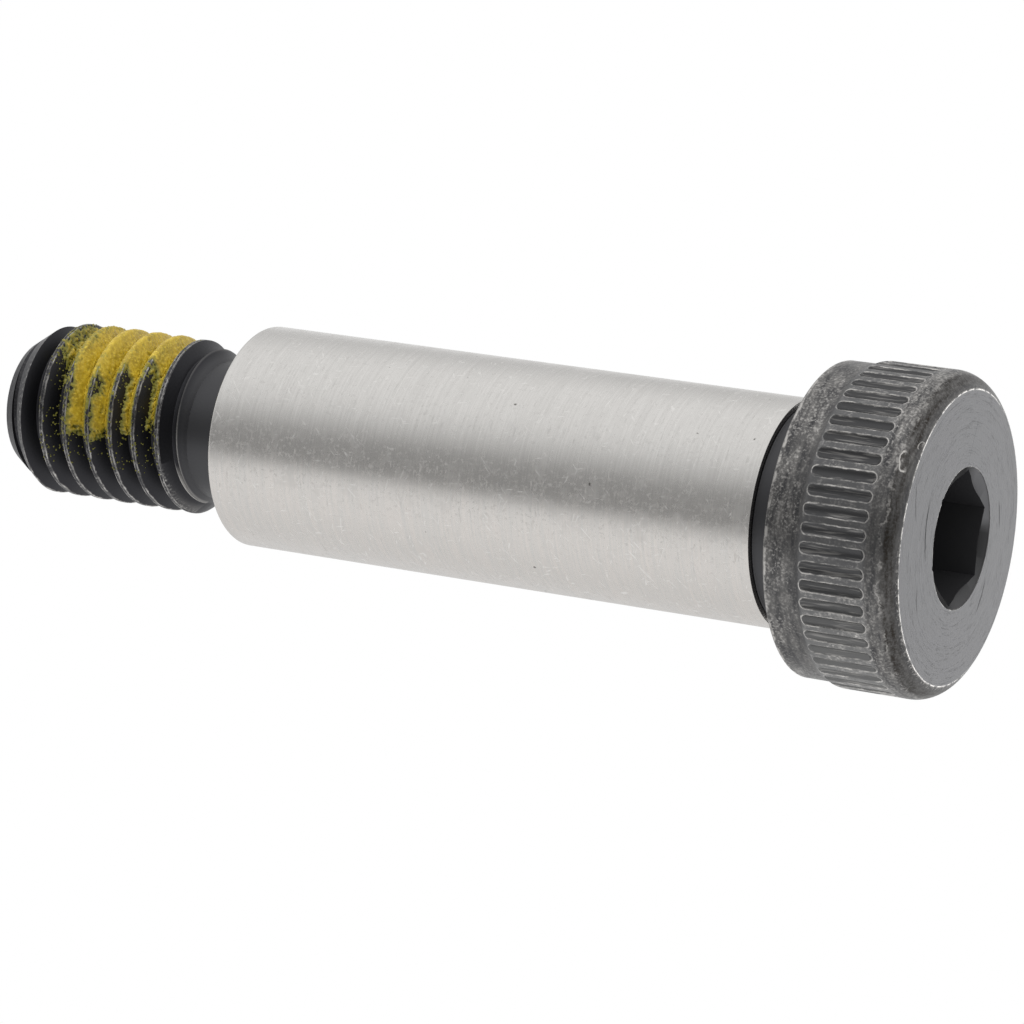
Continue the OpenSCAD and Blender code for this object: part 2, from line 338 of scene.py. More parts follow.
smooth = addNode(tree, "GeometryNodeSetShadeSmooth", {"Geometry": cut})
oxideAll = addNode(tree, "GeometryNodeSetMaterial", {"Geometry": smooth, "Material": given["Oxide"]})
place = addNode(tree, "GeometryNodeInputPosition")
axes = addNode(tree, "ShaderNodeSeparateXYZ", [place]).node.outputs
flat = addNode(tree, "ShaderNodeCombineXYZ", [axes["X"], axes["Y"]])
away = addNode(tree, "ShaderNodeVectorMath", [flat], operation="LENGTH").node.outputs["Value"]
above = addNode(tree, "ShaderNodeMath", [axes["Z"], given["Shoulder start"]], operation="GREATER_THAN")
below = addNode(tree, "ShaderNodeMath", [axes["Z"], given["Shoulder end"]], operation="LESS_THAN")
outer = addNode(tree, "ShaderNodeMath", [away, given["Shoulder inner"]], operation="GREATER_THAN")
onShoulder = addNode(tree, "ShaderNodeMath", [above, below], operation="MULTIPLY")
onShoulder = addNode(tree, "ShaderNodeMath", [onShoulder, outer], operation="MULTIPLY")
ground = addNode(tree, "GeometryNodeSetMaterial", {
    "Geometry": oxideAll, "Selection": onShoulder, "Material": given["Ground"]})
toMetres = addNode(tree, "GeometryNodeTransform", {"Geometry": ground, "Scale": (metre, metre, metre)})
addNode(tree, "NodeGroupOutput", [toMetres])

# The patch's tree lays a film along the thread: a sheet of cells on the helix, given a thickness later.
# "Across" is the height above the helix that the centre of the groove's first turn follows
patch = {  # millimetres and degrees
    "turnCells": 270, "riseCells": 190,
    "firstTurn": -134.0, "lastTurn": 84.0, "low": 4.1, "high": 15.4,  # the sheet, turn and across
    "patchLow": 5.12, "patchHigh": 12.8, "patchEnd": 68.0,  # the film's edges across, and its far end
    "edgeMiddle": 65.0, "edgeBend": 0.6, "edgeTurn": -110.0,  # its near edge: a curve over the height
    "crestSlope": -3.6, "crestTurn": -61.0,  # on the crests it starts later, along a slant
    "edgeSoft": 7.0, "endSoft": 9.0, "lowSoft": 0.3, "highSoft": 0.25, "flankSoft": 0.2,  # where it thins
    "headwardReach": (60.0, 66.4, 0.24, 0.70),  # from height to height, the share of the flank it covers
    "refillTurn": (-82.0, -76.0), "refillRise": (62.9, 63.8),  # near here it covers that flank again
    "crestFilm": 0.08, "rootFilm": 0.2, "under": 0.03,  # thickness, and how deep in the steel it starts
    "grainSize": 0.08, "grainDensity": 11.0, "seed": 4,
}
patchTree, given = newTree("lockPatchTree", [
    ("Geometry", "Geometry"), ("Turn cells", "Int"), ("Rise cells", "Int"), ("First turn", "Float"),
    ("Last turn", "Float"), ("Low", "Float"), ("High", "Float"), ("Pitch", "Float"),
    ("Thread turn", "Float"), ("Groove centre", "Float"), ("Root radius", "Float"), ("Root half", "Float"),
    ("Thread depth", "Float"), ("Patch low", "Float"), ("Patch high", "Float"), ("Patch end", "Float"),
    ("Crest film", "Float"), ("Root film", "Float"), ("Under", "Float"), ("Grain size", "Float"),
    ("Grain density", "Float"), ("Seed", "Int"), ("Nylon", "Material")])
tree = patchTree
columns = addNode(tree, "ShaderNodeMath", [given["Rise cells"], 1.0], operation="ADD")
rings = addNode(tree, "ShaderNodeMath", [given["Turn cells"], 1.0], operation="ADD")
sheet = addNode(tree, "GeometryNodeMeshGrid", {"Vertices X": rings, "Vertices Y": columns})
index = addNode(tree, "GeometryNodeInputIndex")
nudged = addNode(tree, "ShaderNodeMath", [index, 0.01], operation="ADD")
ringFlow = addNode(tree, "ShaderNodeMath", [nudged, columns], operation="DIVIDE")
ring = addNode(tree, "ShaderNodeMath", [ringFlow], operation="FLOOR")
before = addNode(tree, "ShaderNodeMath", [ring, columns], operation="MULTIPLY")
column = addNode(tree, "ShaderNodeMath", [index, before], operation="SUBTRACT")
theta = addNode(tree, "ShaderNodeMapRange", [
    ring, 0.0, given["Turn cells"], given["First turn"], given["Last turn"]])
evenAcross = addNode(tree, "ShaderNodeMapRange", [
    column, 0.0, given["Rise cells"], given["Low"], given["High"]])
# More cells on the steep flanks than on the flats, so that they all come out the same size
onProfile = addNode(tree, "ShaderNodeMath", [evenAcross, given["Pitch"]], operation="DIVIDE")
profileHalf = addNode(tree, "ShaderNodeMath", [onProfile, 0.5], operation="PINGPONG")
flankWide = bolt["threadDepth"] * flank
flankLong = bolt["threadDepth"] / math.cos(math.radians(30))
profileLong = rootHalf + flankLong + bolt["crestW"] / 2
rootShare = 0.5 * rootHalf / profileLong
flankShare = rootShare + 0.5 * flankLong / profileLong
alongRoot = addNode(tree, "ShaderNodeMapRange", [profileHalf, 0.0, rootShare, 0.0, rootHalf])
alongFlank = addNode(tree, "ShaderNodeMapRange", [profileHalf, rootShare, flankShare, 0.0, flankWide])
alongCrest = addNode(tree, "ShaderNodeMapRange", [profileHalf, flankShare, 0.5, 0.0, bolt["crestW"] / 2])
fromCentre = addNode(tree, "ShaderNodeMath", [alongRoot, alongFlank], operation="ADD")
fromCentre = addNode(tree, "ShaderNodeMath", [fromCentre, alongCrest], operation="ADD")
evenHalf = addNode(tree, "ShaderNodeMath", [profileHalf, given["Pitch"]], operation="MULTIPLY")
shifted = addNode(tree, "ShaderNodeMath", [fromCentre, evenHalf], operation="SUBTRACT")
profilePart = addNode(tree, "ShaderNodeMath", [onProfile], operation="FRACT")
isHeadward = addNode(tree, "ShaderNodeMath", [profilePart, 0.5], operation="LESS_THAN")
sideSign = addNode(tree, "ShaderNodeMath", [isHeadward, 2.0, -1.0], operation="MULTIPLY_ADD")
across = addNode(tree, "ShaderNodeMath", [shifted, sideSign, evenAcross], operation="MULTIPLY_ADD")
turned = addNode(tree, "ShaderNodeMath", [theta, given["Thread turn"]], operation="SUBTRACT")
turns = addNode(tree, "ShaderNodeMath", [turned, 360.0], operation="DIVIDE")
follow = addNode(tree, "ShaderNodeMath", [turns, given["Pitch"], given["Groove centre"]],
                 operation="MULTIPLY_ADD")
height = addNode(tree, "ShaderNodeMath", [follow, across], operation="ADD")
halfPitch = addNode(tree, "ShaderNodeMath", [given["Pitch"], 0.5], operation="MULTIPLY")
fromRoot = addNode(tree, "ShaderNodeMath", [across, halfPitch], operation="PINGPONG")
offRoot = addNode(tree, "ShaderNodeMath", [fromRoot, given["Root half"]], operation="SUBTRACT")
upFlank = addNode(tree, "ShaderNodeMath", [offRoot, flank], operation="DIVIDE")
share = addNode(tree, "ShaderNodeMath", [upFlank, given["Thread depth"]], operation="DIVIDE",
                use_clamp=True)
reach = addNode(tree, "ShaderNodeMath", [share, given["Thread depth"], given["Root radius"]],
                operation="MULTIPLY_ADD")
turnRadians = addNode(tree, "ShaderNodeMath", [theta], operation="RADIANS")
steelFlat = addNode(tree, "ShaderNodeCombineXYZ", {"X": reach, "Z": height})
steelPoint = addNode(tree, "ShaderNodeVectorRotate", {"Vector": steelFlat, "Angle": turnRadians},
                     rotation_type="Z_AXIS")
lumps = addNode(tree, "ShaderNodeTexNoise", {"Vector": steelPoint, "Scale": 1.2, "Detail": 2.0})
grains = addNode(tree, "ShaderNodeTexNoise", {"Vector": steelPoint, "Scale": 4.6, "Detail": 2.0})
lumpSwing = addNode(tree, "ShaderNodeMath", [lumps, 0.5], operation="SUBTRACT")
grainSwing = addNode(tree, "ShaderNodeMath", [grains, 0.5], operation="SUBTRACT")
# The film's ragged near edge, and how far up the flanks it reaches: less on the one that faces the head
upward = addNode(tree, "ShaderNodeMath", [height, patch["edgeMiddle"]], operation="SUBTRACT")
squared = addNode(tree, "ShaderNodeMath", [upward, upward], operation="MULTIPLY")
lowEdge = addNode(tree, "ShaderNodeMath", [squared, patch["edgeBend"], patch["edgeTurn"]],
                  operation="MULTIPLY_ADD")
crestEdge = addNode(tree, "ShaderNodeMath", [upward, patch["crestSlope"], patch["crestTurn"]],
                    operation="MULTIPLY_ADD")
# Each term is the way from one edge of the film, over the width in which it thins out there
overEdge = addNode(tree, "ShaderNodeMath", [theta, lowEdge], operation="SUBTRACT")
onset = addNode(tree, "ShaderNodeMath", [overEdge, patch["edgeSoft"]], operation="DIVIDE")
pastCrestEdge = addNode(tree, "ShaderNodeMath", [theta, crestEdge], operation="SUBTRACT")
crestGrown = addNode(tree, "ShaderNodeMapRange", [pastCrestEdge, -9.0, 5.0, 0.0, 1.0])
stripShare = addNode(tree, "ShaderNodeMapRange", [height, *patch["headwardReach"]])
refillTurn = addNode(tree, "ShaderNodeMapRange", [theta, *patch["refillTurn"], 1.0, 0.0])
refillRise = addNode(tree, "ShaderNodeMapRange", [height, *patch["refillRise"], 0.0, 1.0])
refill = addNode(tree, "ShaderNodeMath", [refillTurn, refillRise], operation="MULTIPLY")
headwardFill = addNode(tree, "ShaderNodeMix", {0: refill, 2: stripShare, 3: 0.93}, data_type="FLOAT")
sideLimit = addNode(tree, "ShaderNodeMix", {0: isHeadward, 2: 0.98, 3: headwardFill}, data_type="FLOAT")
limit = addNode(tree, "ShaderNodeMix", {0: crestGrown, 2: sideLimit, 3: 1.3}, data_type="FLOAT")
spare = addNode(tree, "ShaderNodeMath", [limit, share], operation="SUBTRACT")
flankTerm = addNode(tree, "ShaderNodeMath", [spare, patch["flankSoft"]], operation="DIVIDE")
islands = addNode(tree, "ShaderNodeMapRange", [pastCrestEdge, -30.0, -3.0, -0.95, 0.15])
flankTerm = addNode(tree, "ShaderNodeMath", [flankTerm, islands], operation="MAXIMUM")
toEnd = addNode(tree, "ShaderNodeMath", [given["Patch end"], theta], operation="SUBTRACT")
endTerm = addNode(tree, "ShaderNodeMath", [toEnd, patch["endSoft"]], operation="DIVIDE")
overLow = addNode(tree, "ShaderNodeMath", [across, given["Patch low"]], operation="SUBTRACT")
lowTerm = addNode(tree, "ShaderNodeMath", [overLow, patch["lowSoft"]], operation="DIVIDE")
toHigh = addNode(tree, "ShaderNodeMath", [given["Patch high"], across], operation="SUBTRACT")
highTerm = addNode(tree, "ShaderNodeMath", [toHigh, patch["highSoft"]], operation="DIVIDE")
# Beyond the last full groove the powder lies thin and in islands, thickest at the bolt's top
dusted = addNode(tree, "ShaderNodeMapRange", [theta, -80.0, -46.0, -0.95, 0.8])
thinner = addNode(tree, "ShaderNodeMapRange", [toHigh, -1.1, -2.1, 0.0, 1.2])
dusted = addNode(tree, "ShaderNodeMath", [dusted, thinner], operation="SUBTRACT")
highTerm = addNode(tree, "ShaderNodeMath", [highTerm, dusted], operation="MAXIMUM")
cover = onset
for term in (flankTerm, endTerm, lowTerm, highTerm, 1.6):  # the nearest edge decides, up to full cover
    cover = addNode(tree, "ShaderNodeMath", [cover, term], operation="MINIMUM")
ragged = addNode(tree, "ShaderNodeMath", [grainSwing, 3.4, cover], operation="MULTIPLY_ADD")
ragged = addNode(tree, "ShaderNodeMath", [lumpSwing, 2.4, ragged], operation="MULTIPLY_ADD")
# The film's thickness: thicker in the root, uneven, calmer where it is full, and sunk where there is none
full = addNode(tree, "ShaderNodeMapRange", [ragged, 0.0, 1.2, 0.0, 1.0], interpolation_type="SMOOTHSTEP")
sunk = addNode(tree, "ShaderNodeMapRange", [ragged, -0.3, 0.0, -1.0, 0.0])
film = addNode(tree, "ShaderNodeMapRange", [share, 0.0, 1.0, given["Root film"], given["Crest film"]])
uneven = addNode(tree, "ShaderNodeMapRange", [grains, 0.3, 0.7, 0.45, 1.6])
calm = addNode(tree, "ShaderNodeMapRange", [cover, 0.7, 1.6, 1.0, 0.4])
uneven = addNode(tree, "ShaderNodeMath", [uneven, 1.0], operation="SUBTRACT")
uneven = addNode(tree, "ShaderNodeMath", [uneven, calm, 1.0], operation="MULTIPLY_ADD")
film = addNode(tree, "ShaderNodeMath", [film, uneven], operation="MULTIPLY")
film = addNode(tree, "ShaderNodeMath", [film, full], operation="MULTIPLY")
film = addNode(tree, "ShaderNodeMath", [sunk, given["Under"], film], operation="MULTIPLY_ADD")
onSteel = addNode(tree, "GeometryNodeSetPosition", {"Geometry": sheet, "Position": steelPoint})
normal = addNode(tree, "GeometryNodeInputNormal")
captured = tree.nodes.new("GeometryNodeCaptureAttribute")
captured.capture_items.new("VECTOR", "Outward")
captured.capture_items.new("FLOAT", "Film")
captured.capture_items.new("FLOAT", "Cover")
for socket, value in zip(captured.inputs, (onSteel, normal, film, ragged)):
    tree.links.new(value, socket)
laid, outward, filmKept, coverKept = captured.outputs[:4]
bareCells = addNode(tree, "FunctionNodeCompare", [cover, -0.75], operation="LESS_THAN")
named = addNode(tree, "GeometryNodeStoreNamedAttribute", {
    "Geometry": laid, "Name": "cover", "Value": coverKept}, data_type="FLOAT", domain="POINT")
# Bare cells go, and with them the edges and points that they leave behind
edgeFaces = addNode(tree, "GeometryNodeInputMeshEdgeNeighbors")
pointFaces = addNode(tree, "GeometryNodeInputMeshVertexNeighbors").node.outputs["Face Count"]
looseEdges, loosePoints = [
    addNode(tree, "FunctionNodeCompare", {"A": faces, "B": 0}, data_type="INT", operation="EQUAL")
    for faces in (edgeFaces, pointFaces)]
trimmed = named
for selection, domain in ((bareCells, "POINT"), (looseEdges, "EDGE"), (loosePoints, "POINT")):
    trimmed = addNode(tree, "GeometryNodeDeleteGeometry", {"Geometry": trimmed, "Selection": selection},
                      domain=domain)
lift = addNode(tree, "ShaderNodeVectorMath", {0: outward, "Scale": filmKept}, operation="SCALE")
under = addNode(tree, "ShaderNodeMath", [given["Under"], -1.3], operation="MULTIPLY")
drop = addNode(tree, "ShaderNodeVectorMath", {0: outward, "Scale": under}, operation="SCALE")
inner = addNode(tree, "GeometryNodeSetPosition", {"Geometry": trimmed, "Offset": drop})
extruded = addNode(tree, "GeometryNodeExtrudeMesh", {
    "Mesh": inner, "Offset Scale": 0.0, "Individual": False}, mode="FACES").node
wholeLift = addNode(tree, "ShaderNodeVectorMath", [lift, drop], operation="SUBTRACT")
outer = addNode(tree, "GeometryNodeSetPosition", {
    "Geometry": extruded.outputs["Mesh"], "Selection": extruded.outputs["Top"], "Offset": wholeLift})
back = addNode(tree, "GeometryNodeFlipFaces", [inner])
shell = tree.nodes.new("GeometryNodeJoinGeometry")
for part in (outer, back):
    tree.links.new(part, shell.inputs[0])
closedShell = addNode(tree, "GeometryNodeMergeByDistance", {
    "Geometry": shell.outputs[0], "Distance": 0.0005})
# Loose grains of nylon round the ragged edge, and an overspray of them beyond the patch
fromEdge = addNode(tree, "ShaderNodeMath", [coverKept, 0.1], operation="ADD")
edgeGap = addNode(tree, "ShaderNodeMath", [fromEdge], operation="ABSOLUTE")
edgeGrains = addNode(tree, "ShaderNodeMapRange", [edgeGap, 0.0, 1.3, 1.0, 0.0])
belowEdge = addNode(tree, "ShaderNodeMapRange", [overEdge, -22.0, -3.0, 0.0, 0.8])
sprayEnd = addNode(tree, "ShaderNodeMapRange", [theta, 20.0, 70.0, 1.0, 0.0])
inRows = addNode(tree, "ShaderNodeMapRange", [overLow, 0.0, 0.5, 0.0, 1.0])
notFar = addNode(tree, "ShaderNodeMapRange", [toHigh, -2.2, -0.4, 0.0, 1.0])
spray = belowEdge
for part in (sprayEnd, inRows, notFar):
    spray = addNode(tree, "ShaderNodeMath", [spray, part], operation="MULTIPLY")
dense = addNode(tree, "ShaderNodeMath", [edgeGrains, spray], operation="MAXIMUM")
dense = addNode(tree, "ShaderNodeMath", [dense, given["Grain density"]], operation="MULTIPLY")
scatter = addNode(tree, "GeometryNodeDistributePointsOnFaces", {
    "Mesh": laid, "Density": dense, "Seed": given["Seed"]}, distribute_method="RANDOM")
pebble = addNode(tree, "GeometryNodeMeshIcoSphere", {"Radius": 1.0, "Subdivisions": 1})
sizeLow = addNode(tree, "ShaderNodeMath", [given["Grain size"], 0.35], operation="MULTIPLY")
pebbleSize = addNode(tree, "FunctionNodeRandomValue", {
    2: sizeLow, 3: given["Grain size"], "Seed": given["Seed"]}, data_type="FLOAT").node.outputs[1]
grainsPlaced = addNode(tree, "GeometryNodeInstanceOnPoints", {
    "Points": scatter, "Instance": pebble, "Scale": pebbleSize})
grainsReal = addNode(tree, "GeometryNodeRealizeInstances", [grainsPlaced])
everything = tree.nodes.new("GeometryNodeJoinGeometry")
for part in (closedShell, grainsReal):
    tree.links.new(part, everything.inputs[0])
smooth = addNode(tree, "GeometryNodeSetShadeSmooth", {"Geometry": everything.outputs[0]})
painted = addNode(tree, "GeometryNodeSetMaterial", {"Geometry": smooth, "Material": given["Nylon"]})
toMetres = addNode(tree, "GeometryNodeTransform", {"Geometry": painted, "Scale": (metre, metre, metre)})
addNode(tree, "NodeGroupOutput", [toMetres])

print("stage 4: materials")


def newMaterial(name):  # an empty material, and its tree
    material = bpy.data.materials.new(name)
    material.use_nodes = True
    material.node_tree.nodes.clear()
    return material, material.node_tree


# Black oxide on heat-treated alloy steel, worn through to bright steel on edges and where parts rubbed;
# painted glints on some edges, a painted highlight on the run-out's ridge, and painted shade in the
# socket's dish
oxideLook = {
    "colours": {
        "oxide": "#48484a", "oxideLight": "#666564", "grease": "#38342f", "shaft": "#4f4f51",
        "thread": "#3b3b3e", "groove": "#4b4b4c", "ridge": "#69696a", "bandLow": "#8e8e8d",
        "face": "#3b3b3d", "faceLight": "#404042", "faceMark": "#0a0a0b", "socket": "#4e4e50",
        # dish, dishFar, dishTop, dishLow: painted shade in the socket's dish, with painted light on its
        # far, top and low parts
        "dish": "#101011", "dishFar": "#404041", "dishTop": "#747476", "dishLow": "#555556",
        "worn": "#cfccc8"},
    "roughness": 0.42, "wornRoughness": 0.36, "dulled": 0.4,
    "scratches": [  # on the front face: middle angle, half its length in degrees, radius, slope, strength
        (-89, 21, 6.03, 0.0205, 0.8), (-78, 9, 8.6, 0.09, 0.35), (73, 9, 6.85, 0.01, 0.5),
        (124, 12, 6.55, 0.03, 0.5), (-1, 5, 6.2, 0.5, 0.35), (-128, 8, 7.4, -0.03, 0.3)],
    "secondRim": 0.98, "broadCrest": 59.56,  # heights of the line on the rounding and of the worn turn
    "ridgeR": 5.72, "ridgeGrow": 0.0026,  # the painted highlight on the run-out's ridge, and how the ridge widens a degree
}
paints = {name: linearColour(shade) for name, shade in oxideLook["colours"].items()}
oxide, tree = newMaterial("blackOxideSteel")
coords = addNode(tree, "ShaderNodeTexCoord").node.outputs["Object"]
mm = addNode(tree, "ShaderNodeVectorMath", {0: coords, "Scale": 1000.0}, operation="SCALE")
axes = addNode(tree, "ShaderNodeSeparateXYZ", [mm]).node.outputs
flatPlace = addNode(tree, "ShaderNodeCombineXYZ", [axes["X"], axes["Y"]])
radius = addNode(tree, "ShaderNodeVectorMath", [flatPlace], operation="LENGTH").node.outputs["Value"]
turnPlace = addNode(tree, "ShaderNodeMath", [axes["Y"], axes["X"]], operation="ARCTAN2")
degrees = addNode(tree, "ShaderNodeMath", [turnPlace], operation="DEGREES")
height = axes["Z"]
# Grains of 0.2 mm, blotches of 0.6 mm and clouds of 3 mm; the oxide's own grain is too fine to show, so
# it is drawn this coarse
fine = addNode(tree, "ShaderNodeTexNoise", {"Vector": mm, "Scale": 5.5, "Detail": 3.0, "Roughness": 0.6})
mid = addNode(tree, "ShaderNodeTexNoise", {"Vector": mm, "Scale": 1.6, "Detail": 3.0, "Roughness": 0.6})
broad = addNode(tree, "ShaderNodeTexNoise", {"Vector": mm, "Scale": 0.33, "Detail": 3.0, "Roughness": 0.55})
midSwing = addNode(tree, "ShaderNodeMath", [mid, 0.5], operation="SUBTRACT")
# Streaks that run round the axis, on the head's side, its rounded edge and its face alike
outwards = addNode(tree, "ShaderNodeVectorMath", [flatPlace], operation="NORMALIZE")
alongProfile = addNode(tree, "ShaderNodeMath", [height, radius], operation="ADD")
alongProfile = addNode(tree, "ShaderNodeMath", [alongProfile, 1.8], operation="MULTIPLY")
streakSide = addNode(tree, "ShaderNodeVectorMath", {0: outwards, "Scale": 5.0}, operation="SCALE")
streakRise = addNode(tree, "ShaderNodeCombineXYZ", {"Z": alongProfile})
streakPlace = addNode(tree, "ShaderNodeVectorMath", [streakSide, streakRise], operation="ADD")
streak = addNode(tree, "ShaderNodeTexNoise", {
    "Vector": streakPlace, "Scale": 1.0, "Detail": 5.0, "Roughness": 0.65})
headOnly = addNode(tree, "ShaderNodeMapRange", [
    height, bolt["headH"] + 0.02, bolt["headH"] + 0.1, 1.0, 0.0])
onRound = addNode(tree, "ShaderNodeMapRange", [radius, faceR, faceR + 0.12, 0.0, 1.0])
onSide = addNode(tree, "ShaderNodeMath", [headOnly, onRound], operation="MULTIPLY")
topSide = addNode(tree, "ShaderNodeMapRange", [axes["X"], 0.5, 7.0, 0.0, 1.0])
lowSide = addNode(tree, "ShaderNodeMapRange", [axes["X"], -1.5, -8.0, 0.0, 0.5])
handled = addNode(tree, "ShaderNodeMath", [topSide, lowSide], operation="MAXIMUM")

# Knurl: distance from the rim of each rounded groove, whose edge has worn to a thin broken line
knurlStep = 360 / bolt["knurlCount"]
knurlArc = math.radians(knurlStep) * bolt["headR"]
knurlHalf = bolt["knurlW"] / 2
knurlMid = (knurlLow + knurlHigh) / 2
knurlStraight = bolt["knurlL"] / 2 - knurlHalf
grooveTurn = bolt["knurlTurn"] - knurlStep / 2
fromTurn = addNode(tree, "ShaderNodeMath", [degrees, grooveTurn], operation="SUBTRACT")
steps = addNode(tree, "ShaderNodeMath", [fromTurn, knurlStep], operation="DIVIDE")
wave = addNode(tree, "ShaderNodeMath", [steps, 0.5], operation="PINGPONG")
sideways = addNode(tree, "ShaderNodeMath", [wave, knurlArc], operation="MULTIPLY")
fromMid = addNode(tree, "ShaderNodeMath", [height, knurlMid], operation="SUBTRACT")
fromMidAbs = addNode(tree, "ShaderNodeMath", [fromMid], operation="ABSOLUTE")
pastEnd = addNode(tree, "ShaderNodeMath", [fromMidAbs, knurlStraight], operation="SUBTRACT")
endways = addNode(tree, "ShaderNodeMath", [pastEnd, 0.0], operation="MAXIMUM")
corner = addNode(tree, "ShaderNodeCombineXYZ", [sideways, endways])
fromLine = addNode(tree, "ShaderNodeVectorMath", [corner], operation="LENGTH").node.outputs["Value"]
rimGap = addNode(tree, "ShaderNodeMath", [fromLine, knurlHalf - 0.02], operation="SUBTRACT")
rimGap = addNode(tree, "ShaderNodeMath", [midSwing, 0.18, rimGap], operation="MULTIPLY_ADD")
rimGapAbs = addNode(tree, "ShaderNodeMath", [rimGap], operation="ABSOLUTE")
breaks = addNode(tree, "ShaderNodeTexNoise", {"Vector": mm, "Scale": 1.05, "Detail": 3.0, "Roughness": 0.7})
lineFade = addNode(tree, "ShaderNodeMapRange", [breaks, 0.40, 0.62, 0.08, 1.0])
atFront = addNode(tree, "ShaderNodeMapRange", [height, knurlLow + 0.9, knurlLow + 0.1, 0.0, 0.75])
lineFade = addNode(tree, "ShaderNodeMath", [lineFade, atFront], operation="MAXIMUM")
lineLevel = addNode(tree, "ShaderNodeMapRange", [handled, 0.0, 0.45, 0.75, 1.0])
lineFade = addNode(tree, "ShaderNodeMath", [lineFade, lineLevel], operation="MULTIPLY")
rimLine = addNode(tree, "ShaderNodeMapRange", [rimGapAbs, 0.02, 0.065, 1.0, 0.0],
                  interpolation_type="SMOOTHSTEP")
rimLine = addNode(tree, "ShaderNodeMath", [rimLine, lineFade], operation="MULTIPLY")
rimLine = addNode(tree, "ShaderNodeMath", [rimLine, onSide], operation="MULTIPLY")
inGroove = addNode(tree, "ShaderNodeMapRange", [rimGap, -0.02, -0.10, 0.0, 0.9])
inGroove = addNode(tree, "ShaderNodeMath", [inGroove, onSide], operation="MULTIPLY")
offGroove = addNode(tree, "ShaderNodeMapRange", [rimGap, -0.02, 0.05, 0.0, 1.0])
# Rubs along the ridges and finer lines in the grooves: noise drawn out along the axis
ridgeSide = addNode(tree, "ShaderNodeVectorMath", {0: outwards, "Scale": 30.0}, operation="SCALE")
ridgeRise = addNode(tree, "ShaderNodeCombineXYZ", {"Z": height})
ridgePlace = addNode(tree, "ShaderNodeVectorMath", [ridgeSide, ridgeRise], operation="ADD")
ridgeRub = addNode(tree, "ShaderNodeTexNoise", {"Vector": ridgePlace, "Scale": 1.0, "Detail": 2.0})
finePlace = addNode(tree, "ShaderNodeVectorMath", [ridgePlace, (2.4, 2.4, 0.4)], operation="MULTIPLY")
grooveLines = addNode(tree, "ShaderNodeTexNoise", {"Vector": finePlace, "Scale": 1.0, "Detail": 2.0})
grooveLines = addNode(tree, "ShaderNodeMapRange", [grooveLines, 0.54, 0.68, 0.0, 0.3])
grooveLines = addNode(tree, "ShaderNodeMath", [grooveLines, inGroove], operation="MULTIPLY")
rimLine = addNode(tree, "ShaderNodeMath", [rimLine, grooveLines], operation="MAXIMUM")
ridgeRub = addNode(tree, "ShaderNodeMapRange", [ridgeRub, 0.44, 0.66, 0.04, 0.6])
ridgeLevel = addNode(tree, "ShaderNodeMapRange", [handled, 0.0, 0.6, 0.8, 1.2])
ridgeLow = addNode(tree, "ShaderNodeMapRange", [axes["X"], -3.0, -8.5, 0.8, 2.4])
ridgeLevel = addNode(tree, "ShaderNodeMath", [ridgeLevel, ridgeLow], operation="MAXIMUM")
ridgeRub = addNode(tree, "ShaderNodeMath", [ridgeRub, ridgeLevel], operation="MULTIPLY")
inBand = addNode(tree, "ShaderNodeMapRange", [
    fromMidAbs, bolt["knurlL"] / 2 - 0.15, bolt["knurlL"] / 2 + 0.15, 1.0, 0.0])
inBand = addNode(tree, "ShaderNodeMath", [inBand, onSide], operation="MULTIPLY")
ridgeRub = addNode(tree, "ShaderNodeMath", [ridgeRub, inBand], operation="MULTIPLY")

# Rubbed skin: soft smudges with finer dots, most on the front edge's top and bottom and by the rear edge
frontZone = addNode(tree, "ShaderNodeMapRange", [height, knurlLow + 0.9, knurlLow, 0.0, 1.0])
frontStart = addNode(tree, "ShaderNodeMapRange", [height, 0.65, 1.3, 0.2, 1.0])
handling = addNode(tree, "ShaderNodeMapRange", [handled, 0.0, 1.0, 0.28, 1.0])
frontRub = addNode(tree, "ShaderNodeMath", [frontZone, frontStart], operation="MULTIPLY")
frontRub = addNode(tree, "ShaderNodeMath", [frontRub, handling], operation="MULTIPLY")
backZone = addNode(tree, "ShaderNodeMapRange", [height, knurlHigh, knurlHigh + 0.7, 0.0, 0.9])
backPatch = addNode(tree, "ShaderNodeMapRange", [broad, 0.42, 0.58, 0.35, 1.0])
backRub = addNode(tree, "ShaderNodeMath", [backZone, backPatch], operation="MULTIPLY")
rimZone = addNode(tree, "ShaderNodeMapRange", [
    height, bolt["headH"] - 1.1, bolt["headH"] - 0.3, 0.0, 0.8])
rub = frontRub
for zone in (backRub, rimZone, ridgeRub):
    rub = addNode(tree, "ShaderNodeMath", [rub, zone], operation="MAXIMUM")
smudge = addNode(tree, "ShaderNodeMapRange", [streak, 0.40, 0.66, 0.0, 1.0])
dots = addNode(tree, "ShaderNodeMapRange", [fine, 0.47, 0.66, 0.0, 1.0])
dotLevel = addNode(tree, "ShaderNodeMath", [smudge, 0.5, 0.25], operation="MULTIPLY_ADD")
dots = addNode(tree, "ShaderNodeMath", [dots, dotLevel], operation="MULTIPLY")
skin = addNode(tree, "ShaderNodeMath", [smudge, 0.26, dots], operation="MULTIPLY_ADD")
flakes = addNode(tree, "ShaderNodeMapRange", [fine, 0.54, 0.64, 0.0, 0.62])
skin = addNode(tree, "ShaderNodeMath", [skin, flakes], operation="MAXIMUM")
rubbed = rub
for factor in (skin, offGroove, onSide):
    rubbed = addNode(tree, "ShaderNodeMath", [rubbed, factor], operation="MULTIPLY")
